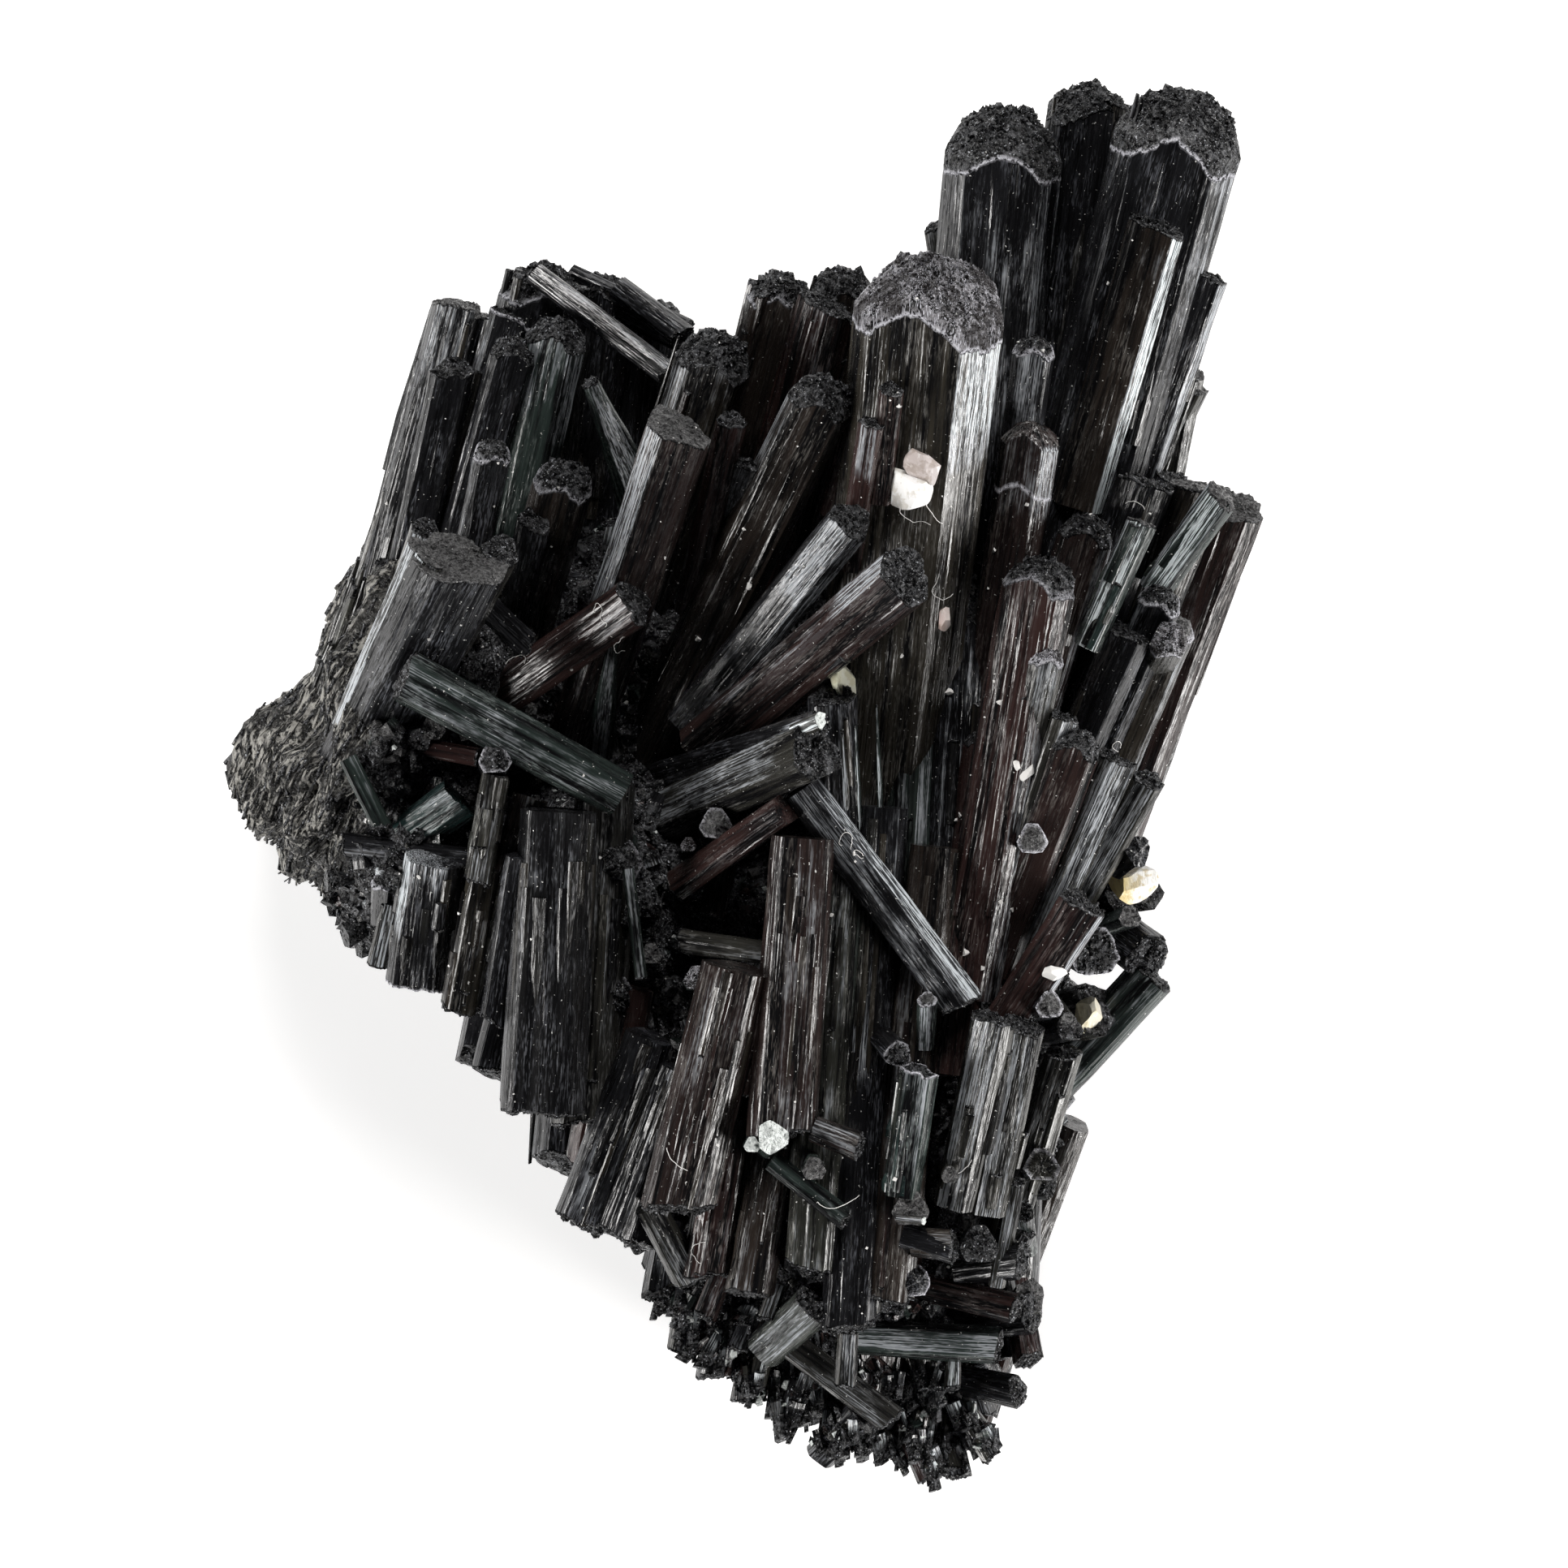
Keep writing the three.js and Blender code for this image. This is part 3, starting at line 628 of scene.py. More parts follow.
# The broad centre crystal and the shorter ones in front of the tall pair: the same schorl, grown side by
# side out of the root. The centre crystal has the widest face and a low dome with a pale rim.
CENTRE_CRYSTALS = [
    (
        (7.9, -3.0, 18.5), (11.7, 32.1, 29.0), 9.6, -14, DOME, 0.42,
        (RIGHT, 0.80, 1, 1.2), (RIM, 1), (END, SUGARY), (DROP, 1.0),
    ),
    ((15.4, 10.0, 17.0), (17.8, 27.2, 23.5), 2.6, 0, DOME, BLACK, (FRONT, 0.7, 1, 0.3), (RIM, 0.8)),
    (
        (14.6, 2.0, 21.0), (17.6, 22.0, 25.5), 3.8, -16, DOME, 0.3,
        (RIGHT, 0.84, 1, 1), (FRONT, 0.8, 1, 0.25), (END, PLAIN), (RIM, 0.9), (DROP, 3.2),
    ),
    ((17.0, 2.0, 21.0), (21.2, 16.2, 25.2), 3.5, 0, DOME, 0.3, (RIGHT, 0.2, 1, 0.4)),
    ((13.6, -13.0, 23.0), (18.3, 13.6, 28.2), 4.8, -20, DOME, BROWN, (RIGHT, 0.02, 0.66, 0.5), (RIM, 0.4)),
    (
        (16.6, -1.0, 25.5), (18.5, 8.1, 29.2), 2.2, 15, DOME, GREY,
        (FRONT, 0.7, 1, 0.3), (END, SUGARY), (RIM, 0.5),
    ),
    ((14.7, -10.6, 24.0), (19.5, 4.1, 28.0), 1.9, 40, BROKEN, GREY, (FRONT, 0.6)),
]
dice = random.Random(12)
group = new_shell()
grow_crystals(group, dice, CENTRE_CRYSTALS)
grow_rods(group, dice, CENTRE_CRYSTALS[3], 6, 0.4, 0.9)
grow_rods(group, dice, CENTRE_CRYSTALS[4], 5, 0.4, 0.8)
keep_piece(group, "centre_crystals", schorl, "schorl", "schorl_cluster")

# The fan that rises out of the hollow to the upper right: slimmer prisms of schorl that lean towards the
# viewer, with flat broken tops or small domes.
HOLLOW_FAN = [
    (
        (-10.9, 1.6, 15.0), (-4.0, 21.9, 29.0), 4.4, 22, BROKEN, 0.3,
        (LEFT, 0.52, 1, 1), (LEFT, 0.2, 0.6, 0.35), (END, MATTE),
    ),
    ((-3.6, 10.5, 19.0), (-0.8, 22.2, 27.5), 1.9, 10, BROKEN, BROWN),
    ((-7.8, 7.6, 11.5), (-1.5, 27.2, 24.6), 4.9, 5, DOME, 0.4, (LEFT, 0.7, 1, 0.5), (FRONT, 0.85, 1, 0.3)),
    ((-3.2, 8.5, 10.5), (2.5, 31.0, 21.5), 4.4, 0, DOME, 0.35, (RIM, 0.5)),
    ((0.6, 8.5, 10.5), (6.3, 31.4, 21.5), 4.2, 12, DOME, 0.35),
    ((-0.6, 8.0, 12.0), (5.2, 29.4, 24.0), 3.9, -6, BROKEN, BROWN, (FRONT, 0.8, 1, 0.2)),
    ((-6.4, 1.2, 13.5), (5.2, 24.4, 28.5), 4.1, 8, DOME, 0.35, (LEFT, 0.8, 1, 0.4)),
    ((5.3, 16.5, 22.5), (8.1, 25.8, 28.6), 2.0, 0, DOME, BROWN),
    (
        (-3.6, 3.6, 17.0), (6.6, 16.0, 30.0), 2.9, -8, BROKEN, BLACK,
        (FRONT, 0.7, 1, 1), (RIGHT, 0.2, 1, 0.5), (END, COALY),
    ),
    (
        (-2.6, 2.2, 18.0), (10.0, 12.8, 32.0), 4.1, 18, BROKEN, 0.2,
        (LEFT, 0.78, 1, 0.9), (LEFT, 0.2, 0.7, 0.25), (END, COALY),
    ),
    ((-1.2, 2.8, 19.0), (6.0, 8.2, 27.5), 2.1, 0, BROKEN, BLACK),
]
dice = random.Random(13)
group = new_shell()
grow_crystals(group, dice, HOLLOW_FAN)
for spec in HOLLOW_FAN[2:7]:
    grow_rods(group, dice, spec, 8, 0.4, 1.1)
keep_piece(group, "hollow_fan", schorl, "schorl", "schorl_cluster")

# The left group: tall columns of schorl at the edge, the stout block with the rough broken top, and
# stubs that stand in the hollow.
LEFT_CRYSTALS = [
    (
        (-24.2, 4.0, 10.5), (-17.2, 29.6, 16.5), 4.3, -15, BROKEN, BLACK,
        (LEFT, 0.1, 0.8, 0.1), (FRONT, 0.86, 1, 0.4), (END, MATTE),
    ),
    ((-19.2, 12.0, 14.5), (-14.4, 28.8, 19.0), 2.9, 0, BROKEN, BLACK, (LEFT, 0.6, 1, 0.3), (RIM, 0.9)),
    ((-16.2, 14.5, 13.0), (-12.0, 31.7, 17.0), 6.0, 10, DOME, BLACK, (RIM, 0.5)),
    ((-11.2, 14.5, 12.0), (-8.9, 31.3, 15.0), 4.8, 0, DOME, BLACK),
    ((-8.2, 14.0, 10.5), (-6.6, 29.4, 12.5), 5.0, 0, BROKEN, BLACK),
    (
        (-14.7, 13.5, 16.5), (-11.3, 28.4, 21.0), 3.9, -10, DOME, GREEN,
        (RIGHT, 0.6, 1, 0.8), (FRONT, 0.72, 1, 0.3),
    ),
    ((-17.7, 14.5, 17.0), (-13.9, 27.2, 21.5), 3.1, 5, DOME, BLACK),
    ((-21.2, 11.5, 16.0), (-17.9, 25.6, 20.0), 2.8, 0, BROKEN, BLACK),
    ((-18.2, 7.6, 15.0), (-15.4, 20.7, 24.5), 2.5, 20, DOME, BLACK, (LEFT, 0.6, 1, 0.3), (RIM, 0.7)),
    ((-14.6, 6.0, 13.0), (-10.8, 19.3, 24.0), 3.8, 0, DOME, 0.35, (RIM, 0.4)),
    ((-25.0, -1.0, 15.0), (-17.2, 13.8, 29.5), 6.0, 26, BROKEN, BLACK, (END, MATTE)),
    (
        (-24.9, 3.4, 20.4), (-19.9, 14.4, 30.0), 1.3, -40, BROKEN, GREY,
        (FRONT, 1.1), (LEFT, 1.1), (END, MATTE),
    ),
    (
        (-24.4, 4.0, 21.0), (-19.3, 13.9, 30.4), 1.4, -32, BROKEN, GREY,
        (FRONT, 1.2), (LEFT, 1), (END, MATTE),
    ),
    ((-23.6, 4.2, 21.3), (-18.7, 13.4, 30.6), 1.2, -25, BROKEN, GREY, (FRONT, 0.9), (END, MATTE)),
    ((-18.2, 8.0, 21.0), (-14.8, 14.2, 28.2), 2.5, 10, BROKEN, GREY),
    ((-22.6, 7.0, 17.0), (-19.5, 15.6, 26.0), 1.9, 0, BROKEN, GREY, (FRONT, 0.75, 1, 0.8)),
    ((-25.6, 2.0, 9.5), (-20.6, 18.2, 14.0), 3.8, -20, POINT, GREY, (FRONT, 0.1)),
    ((-26.8, 0.6, 11.0), (-22.2, 13.6, 17.0), 3.6, -10, POINT, GREY, (FRONT, 0.12)),
    ((-28.2, -1.0, 10.0), (-24.2, 8.4, 16.0), 3.6, -25, POINT, GREY, (FRONT, 0.12)),
    ((-10.9, 31.0, 15.0), (-3.5, 27.4, 17.0), 2.4, 20, BROKEN, BLACK, (FRONT, 0.1)),
    ((-4.4, 12.0, 14.0), (-9.6, 24.6, 22.5), 3.6, 15, POINT, GREEN, (FRONT, 0.3, 1, 0.7)),
]
dice = random.Random(14)
group = new_shell()
grow_crystals(group, dice, LEFT_CRYSTALS)
for spec in LEFT_CRYSTALS[:5]:
    grow_rods(group, dice, spec, 12, 0.5, 1.4)
for spec in LEFT_CRYSTALS[16:19]:
    grow_rods(group, dice, spec, 34, 0.35, 0.9)
keep_piece(group, "left_crystals", schorl, "schorl", "schorl_cluster")

# The right group: a block of columns that share one broken top, and shorter prisms and stubs of schorl
# in front of it and down the right edge.
RIGHT_CRYSTALS = [
    ((22.6, -3.0, 15.5), (30.0, 17.4, 20.5), 4.2, -4, BROKEN, 0.26, (FRONT, 0.2, 1, 0.08), (END, MATTE)),
    ((21.8, 2.0, 17.5), (28.0, 18.2, 22.5), 3.9, -28, BROKEN, 0.4, (END, MATTE)),
    ((19.3, 3.0, 18.5), (24.7, 18.6, 23.3), 3.9, -25, BROKEN, BLACK),
    ((20.9, 8.2, 25.2), (24.3, 15.9, 27.0), 2.0, -8, BROKEN, GREEN, (FRONT, 1.5), (LEFT, 1), (END, MATTE)),
    ((25.0, 11.6, 23.2), (29.3, 17.6, 25.0), 2.3, -8, BROKEN, GREEN, (FRONT, 1.5), (LEFT, 1), (END, MATTE)),
    ((21.5, 2.0, 12.0), (26.8, 18.8, 16.5), 4.4, 0, BROKEN, BLACK),
    ((19.6, -2.5, 17.0), (25.7, 11.7, 25.0), 2.8, 0, DOME, BLACK, (LEFT, 0.2, 1, 0.3), (RIM, 0.7)),
    ((21.2, -3.0, 15.5), (26.5, 10.1, 23.6), 2.8, 10, DOME, 0.4, (RIGHT, 0.4), (RIM, 0.8), (END, MATTE)),
    ((24.3, 5.4, 17.0), (26.1, 9.0, 26.4), 2.4, 0, DOME, GREY, (END, SUGARY), (RIM, 1), (DROP, 0.7)),
    ((17.8, -4.0, 17.5), (23.5, 9.3, 25.0), 3.2, -10, BROKEN, BLACK),
    ((15.1, -11.5, 23.0), (20.5, 3.1, 28.0), 3.3, 0, DOME, 0.25),
    ((17.1, -11.5, 22.0), (22.8, 1.6, 26.6), 2.7, 30, BROKEN, GREY, (LEFT, 0.3), (FRONT, 0.75)),
    ((18.8, -10.5, 19.5), (24.8, 0.3, 24.0), 2.1, 0, BROKEN, GREY, (FRONT, 0.5)),
    ((14.5, -17.0, 23.8), (20.8, -7.2, 26.6), 3.1, 14, BROKEN, BROWN, (RIGHT, 1)),
    ((19.6, -8.0, 13.0), (24.1, -4.2, 22.5), 2.1, 0, BROKEN, BLACK, (END, PLAIN)),
    ((17.6, -8.2, 16.0), (21.6, -10.6, 24.0), 3.4, 0, BROKEN, BLACK, (RIM, 0.6)),
    ((18.6, -6.0, 14.0), (25.0, -11.0, 19.0), 3.2, 0, BROKEN, BLACK),
    ((15.6, -22.4, 13.5), (25.2, -11.8, 17.5), 3.0, 0, BROKEN, GREEN, (FRONT, 0.3)),
    ((16.2, -14.8, 17.0), (18.6, -13.7, 27.0), 1.8, 0, BROKEN, BLACK, (RIM, 1), (END, MATTE)),
    ((17.3, -3.4, 22.0), (17.5, -3.6, 29.6), 2.0, 0, DOME, BLACK, (RIM, 1), (END, MATTE)),
    ((20.6, -9.6, 16.0), (23.6, -8.3, 23.5), 1.5, 0, BROKEN, GREEN, (END, MATTE)),
    ((19.0, -9.8, 18.0), (20.5, -8.0, 25.0), 1.7, 0, BROKEN, BLACK, (RIM, 0.5), (END, PLAIN)),
    ((18.0, -12.5, 18.0), (19.7, -14.9, 25.5), 1.4, 0, BROKEN, GREY, (END, MATTE)),
    ((13.2, -30.0, 19.0), (17.2, -29.4, 22.0), 2.4, 0, BROKEN, BLACK),
    ((9.6, -33.6, 13.0), (17.9, -32.8, 17.5), 2.7, 0, BROKEN, BLACK),
]
dice = random.Random(15)
group = new_shell()
grow_crystals(group, dice, RIGHT_CRYSTALS)
for spec in RIGHT_CRYSTALS[:4]:
    grow_rods(group, dice, spec, 7, 0.35, 0.9)
for spec in RIGHT_CRYSTALS[4:11]:
    grow_rods(group, dice, spec, 4, 0.35, 0.8)
keep_piece(group, "right_crystals", schorl, "schorl", "schorl_cluster")

# The front ledge: columns of schorl that start below the hollow, run down side by side and break off
# along the lower edge. Each is a bundle of rods that grew together.
LEDGE_CRYSTALS = [
    ((-11.4, -1.8, 25.5), (-12.5, -20.5, 24.0), 5.3, 3, BROKEN, 0.52, (FRONT, 0, 0.5, 0.12)),
    ((-8.6, -0.2, 22.6), (-10.0, -21.0, 22.2), 4.2, -6, BROKEN, 0.62, (FRONT, 0.1, 0.7, 0.16)),
    ((-13.2, -1.0, 20.5), (-17.0, -14.2, 20.5), 2.5, 0, BROKEN, 0.35, (FRONT, 0.19)),
    ((-15.3, 0.4, 25.5), (-16.4, -6.2, 24.8), 1.9, 0, BROKEN, GREY, (FRONT, 0.3)),
    ((-16.0, -5.4, 24.2), (-17.6, -14.2, 22.4), 2.2, -8, BROKEN, 0.42, (FRONT, 0.12)),
    ((-14.6, -6.4, 24.0), (-16.3, -14.0, 22.4), 1.4, 0, BROKEN, GREY, (FRONT, 0.4)),
    (
        (-19.0, -4.6, 23.5), (-20.1, -12.6, 19.0), 4.2, 10, BROKEN, BLACK,
        (FRONT, 0, 0.12, 0.8), (RIGHT, 0, 0.5, 1.2), (END, MATTE), (RIM, 1),
    ),
    ((-13.4, -8.0, 19.0), (-15.8, -18.0, 19.5), 2.2, 0, BROKEN, BLACK, (FRONT, 0.6, 1, 0.25)),
    ((-5.9, -15.6, 24.5), (-10.3, -27.4, 21.5), 3.3, 0, BROKEN, BLACK, (FRONT, 0.2, 0.9, 0.15)),
    ((-4.2, -17.6, 25.0), (-8.1, -28.0, 22.5), 2.5, 20, BROKEN, BLACK, (FRONT, 0, 0.8, 0.19)),
    ((-7.3, -12.6, 22.0), (-9.4, -24.0, 20.0), 3.7, 0, BROKEN, BROWN),
    ((-0.5, -11.4, 27.5), (-4.1, -26.4, 25.0), 4.7, 8, BROKEN, 0.3, (FRONT, 0.1, 1, 0.14)),
    ((3.5, -3.4, 28.0), (2.1, -22.0, 26.5), 4.3, -6, BROKEN, 0.3, (FRONT, 0.14)),
    ((5.9, -4.6, 26.0), (4.0, -30.0, 24.0), 3.3, 12, BROKEN, 0.75, (FRONT, 0.16), (FRONT, 0.12, 0.4, 0.35)),
    ((8.4, -1.6, 25.0), (6.2, -33.8, 23.5), 3.5, 0, BROKEN, BLACK, (FRONT, 0, 0.5, 0.22)),
    ((11.6, -4.0, 25.0), (8.6, -32.0, 23.5), 3.5, 15, BROKEN, 0.35, (FRONT, 0.2, 0.8, 0.15)),
    ((-0.8, -20.5, 23.5), (-2.5, -30.6, 22.0), 3.2, 0, BROKEN, BROWN, (FRONT, 0.12)),
    ((2.2, -20.0, 24.0), (0.2, -31.6, 22.5), 3.1, 10, BROKEN, 0.35, (FRONT, 0.15)),
    ((12.8, -26.0, 24.0), (15.3, -14.2, 27.6), 2.9, -18, BROKEN, GREY, (FRONT, 0.6)),
    ((14.7, -26.4, 23.0), (17.0, -14.6, 26.6), 2.7, 10, BROKEN, GREY, (FRONT, 0.5)),
    ((9.5, -25.2, 25.5), (10.6, -17.4, 28.4), 2.5, 0, BROKEN, GREEN, (FRONT, 0.4), (RIM, 1)),
    ((15.4, -30.2, 18.5), (19.6, -16.4, 21.5), 2.3, 0, BROKEN, GREY, (FRONT, 0.22)),
    ((9.4, -15.4, 23.5), (11.2, 13.4, 21.5), 3.5, 0, DOME, GREEN, (FRONT, 0.45, 0.95, 0.55)),
    ((11.4, -18.0, 23.5), (13.3, 10.4, 22.0), 3.5, 20, DOME, BLACK, (FRONT, 0.1, 0.9, 0.35)),
    ((12.4, -18.0, 24.0), (15.0, 3.4, 23.5), 3.3, 0, DOME, BROWN),
    ((5.9, -8.0, 24.5), (5.3, 5.6, 26.0), 3.0, 0, BROKEN, BLACK, (FRONT, 0.5, 1, 0.19)),
    ((10.2, -36.0, 13.0), (12.6, -43.0, 14.0), 2.7, 0, BROKEN, GREY),
    ((4.6, -41.6, 15.5), (7.3, -38.8, 18.4), 2.3, 12, BROKEN, BLACK),
]
dice = random.Random(16)
group = new_shell()
grow_crystals(group, dice, LEDGE_CRYSTALS, crumb_share=3)
keep_piece(group, "ledge_crystals", schorl, "schorl", "schorl_cluster")
group = new_shell()
for spec in LEDGE_CRYSTALS[:26]:
    grow_rods(group, dice, spec, 3 + round(3 * spec[2]), 0.4, 1.2)
keep_piece(group, "ledge_rods", schorl, "schorl", "schorl_cluster")

# Short crystals of schorl that lie every way over the ledge and in the hollow, each grown into what it
# lies on.
SHORT_CRYSTALS = [
    (
        (-5.6, -2.6, 17.0), (4.5, 1.9, 30.6), 3.9, -30, BROKEN, GREY,
        (FRONT, 0, 0.8, 0.5), (LEFT, 0.6, 1, 0.7),
    ),
    ((2.4, -1.8, 28.5), (-4.3, -6.6, 21.5), 2.3, 34, BROKEN, BROWN),
    ((2.0, -10.6, 26.0), (-4.0, -9.8, 23.0), 1.6, 0, BROKEN, GREY, (FRONT, 0.15)),
    ((-15.2, 5.2, 18.5), (-6.6, 11.1, 25.0), 3.1, 0, BROKEN, BROWN, (FRONT, 0.6, 1, 0.2)),
    ((-9.2, 0.2, 14.0), (-8.1, 8.8, 24.0), 1.9, 0, POINT, GREEN, (FRONT, 0.5)),
    ((-20.8, -3.4, 21.0), (-17.3, -1.0, 23.0), 3.1, -12, BROKEN, 1.0, (FRONT, 0.7, 1, 0.35), (END, PLAIN)),
    ((-15.6, -5.0, 24.0), (-24.6, -3.9, 20.5), 1.6, 0, BROKEN, BLACK, (FRONT, 0.1)),
    ((8.4, -30.6, 17.5), (16.9, -32.5, 20.5), 2.0, 0, BROKEN, BROWN),
    ((2.6, -34.5, 20.5), (9.1, -39.4, 19.0), 2.0, 14, BROKEN, 0.6, (FRONT, 0.15)),
    ((1.2, -35.0, 19.5), (4.7, -31.7, 24.0), 2.8, 0, BROKEN, 0.8, (FRONT, 0.35)),
    ((14.0, -28.6, 18.0), (14.3, -28.4, 25.6), 2.5, 0, BROKEN, BLACK),
    ((1.2, -22.4, 22.0), (1.7, -21.7, 29.4), 2.1, 30, BROKEN, GREEN, (END, GLINTING)),
    ((0.2, -22.0, 22.0), (0.4, -22.2, 29.2), 1.0, 0, BROKEN, GREEN, (END, GLINTING)),
    ((4.0, -23.0, 22.0), (4.2, -23.7, 28.4), 1.5, 0, BROKEN, GREEN, (END, MATTE)),
    ((12.3, -23.6, 22.0), (12.5, -24.1, 27.4), 1.1, 0, BROKEN, GREY, (END, MATTE)),
    ((10.0, -25.5, 20.0), (10.1, -26.2, 26.4), 2.3, 0, BROKEN, GREY, (END, MATTE)),
    ((9.2, -26.7, 26.4), (11.0, -26.9, 26.5), 0.5, 0, BROKEN, GREY, (FRONT, 1), (END, GLINTING)),
    ((15.4, -31.0, 21.0), (16.6, -24.4, 23.5), 1.2, 0, BROKEN, GREY, (FRONT, 0.5)),
    ((15.8, -30.4, 16.0), (17.2, -27.3, 20.0), 1.7, 0, BROKEN, BLACK, (LEFT, 0.8)),
    ((16.0, -34.0, 14.0), (17.6, -31.6, 17.5), 2.2, 0, BROKEN, GREY, (END, MATTE)),
    ((3.4, -29.0, 18.0), (4.1, -29.6, 25.0), 1.9, 0, BROKEN, BLACK, (END, COALY)),
    ((-3.6, -22.6, 22.0), (-3.3, -22.4, 27.4), 1.6, 0, BROKEN, GREY, (END, MATTE)),
    ((-13.9, -4.6, 26.0), (-15.5, -14.8, 23.0), 1.7, 0, BROKEN, BLACK),
    ((-22.6, -8.5, 18.0), (-22.3, -6.0, 22.5), 1.4, 0, DOME, BLACK, (RIM, 1)),
    ((-21.8, -7.4, 20.5), (-22.8, -11.5, 17.5), 1.3, 0, BROKEN, GREY, (FRONT, 1.1)),
    ((8.8, -36.0, 13.0), (9.6, -41.2, 13.5), 2.0, 0, BROKEN, BLACK),
    ((11.8, -37.0, 13.5), (14.9, -41.2, 15.0), 2.0, 0, BROKEN, GREY, (FRONT, 0.5, 1, 0.5)),
    ((-16.2, 11.0, 24.0), (-13.3, 8.2, 22.5), 1.8, 0, BROKEN, BLACK),
    ((9.6, -27.8, 25.0), (13.0, -28.8, 25.5), 1.8, 0, BROKEN, BLACK),
    ((4.2, -21.2, 27.0), (7.2, -22.4, 27.6), 1.8, 0, BROKEN, 0.3, (FRONT, 0.4)),
    ((13.0, -37.0, 14.5), (17.0, -37.8, 16.0), 2.1, 0, BROKEN, BLACK),
    ((15.2, -21.8, 17.5), (18.8, -22.2, 19.5), 2.2, 0, BROKEN, BLACK),
    ((15.2, -24.6, 17.5), (18.7, -24.6, 19.5), 2.4, 0, BROKEN, BLACK),
    ((-15.2, 6.0, 14.0), (-12.9, 16.1, 23.5), 2.1, 0, BROKEN, BLACK),
    ((-5.6, 0.2, 16.0), (4.6, 3.4, 29.8), 2.0, 0, BROKEN, BLACK, (FRONT, 0.85, 1, 1)),
    ((8.2, 17.0, 28.0), (8.9, 24.0, 31.0), 1.5, 0, BROKEN, BROWN),
    ((6.3, 13.0, 26.0), (7.7, 22.0, 30.6), 1.7, 0, BROKEN, BROWN, (FRONT, 0.7, 1, 0.4)),
    ((-2.6, 12.5, 18.0), (0.1, 19.5, 26.0), 1.6, 0, BROKEN, BLACK),
    ((18.4, -10.0, 17.5), (23.7, -0.2, 21.5), 2.6, 0, BROKEN, BLACK, (RIGHT, 0.5)),
    ((-7.9, 30.4, 17.5), (-3.7, 27.2, 19.5), 1.7, 0, BROKEN, BLACK),
    ((-5.9, -26.0, 23.5), (-3.5, -30.6, 21.5), 2.1, 0, BROKEN, GREY, (FRONT, 0.35)),
    ((16.4, -16.0, 15.0), (19.9, -15.1, 25.5), 1.8, 0, BROKEN, BLACK),
    ((1.6, -23.2, 26.6), (6.3, -26.9, 26.0), 1.4, 0, BROKEN, GREEN, (FRONT, 0.3)),
    ((3.0, 3.0, 29.8), (4.7, 3.7, 31.4), 1.1, 0, BROKEN, GREY, (FRONT, 1.5), (END, GLINTING)),
    ((7.0, -4.6, 25.2), (6.7, 3.4, 26.6), 0.5, 0, POINT, GREEN, (FRONT, 1.4)),
    ((8.3, -3.4, 25.2), (8.0, 4.6, 26.0), 0.4, 0, POINT, GREEN, (FRONT, 1.3)),
    ((6.2, -2.2, 26.0), (5.9, 3.0, 27.2), 0.6, 0, POINT, GREY, (FRONT, 1.1)),
    ((-15.5, 0.8, 20.0), (-15.3, 1.4, 27.2), 2.1, 0, DOME, BLACK, (RIM, 0.7)),
    ((-20.8, 2.2, 21.5), (-16.2, 1.4, 22.5), 1.2, 0, BROKEN, BROWN),
    ((-24.4, 1.4, 22.6), (-22.2, -3.0, 22.4), 1.3, 0, BROKEN, GREEN, (FRONT, 0.25)),
    ((-19.5, 2.6, 18.0), (-19.2, 3.2, 23.0), 1.6, 0, BROKEN, GREY, (END, MATTE)),
    ((-7.2, -5.4, 24.6), (-6.4, -12.2, 24.8), 0.8, 0, BROKEN, GREEN, (FRONT, 0.5)),
    ((-1.2, -5.2, 20.5), (-2.2, -8.8, 22.0), 1.9, 30, BROKEN, BROWN),
    ((-2.0, -3.0, 20.0), (-1.8, -2.6, 25.8), 2.1, 0, DOME, GREY, (END, MATTE), (RIM, 0.6)),
    ((-3.7, -4.2, 20.0), (-3.5, -3.9, 25.0), 1.0, 0, BROKEN, GREEN, (END, SUGARY)),
    ((-3.2, -12.4, 20.0), (-3.0, -12.1, 25.6), 1.6, 0, BROKEN, GREEN, (END, SUGARY)),
    ((-6.0, -10.9, 20.0), (-5.8, -10.6, 24.8), 1.4, 0, BROKEN, GREEN, (END, MATTE)),
    ((-8.0, -6.0, 18.0), (-7.9, -4.6, 24.4), 3.2, 0, DOME, BLACK, (RIM, 0.5)),
    ((-6.2, -8.0, 18.0), (-6.4, -7.2, 23.6), 2.6, 0, DOME, BLACK),
    ((-8.6, -10.0, 18.0), (-8.4, -9.4, 23.4), 3.0, 0, DOME, BLACK),
    ((-8.0, -13.6, 18.0), (-8.0, -13.0, 23.8), 2.6, 0, DOME, BLACK, (RIM, 0.4)),
    ((11.0, -16.2, 25.5), (11.1, -13.2, 28.0), 1.3, 0, BROKEN, GREEN, (FRONT, 0.6), (END, MATTE), (RIM, 1)),
    ((8.2, -15.6, 25.0), (9.4, -16.8, 27.8), 1.8, 0, BROKEN, BLACK, (RIM, 0.5)),
    ((8.0, -31.0, 18.0), (10.6, -30.6, 25.0), 2.2, 0, DOME, BLACK, (END, PLAIN), (RIM, 0.6)),
    ((10.2, -28.2, 25.0), (12.9, -28.4, 25.4), 2.0, 0, BROKEN, 0.36, (FRONT, 0.12)),
    ((17.4, -28.8, 16.0), (17.0, -26.4, 21.5), 1.6, -20, BROKEN, GREEN, (FRONT, 0.5)),
    ((16.9, -24.4, 15.0), (18.2, -23.6, 22.0), 2.2, 0, BROKEN, GREY, (LEFT, 0.6), (END, PLAIN), (RIM, 0.4)),
    ((16.6, -31.0, 14.0), (17.4, -36.0, 16.0), 2.2, -25, BROKEN, BROWN, (FRONT, 0.1)),
    ((12.8, -35.4, 17.5), (12.7, -37.6, 18.4), 1.1, 0, BROKEN, GREY, (FRONT, 1.3)),
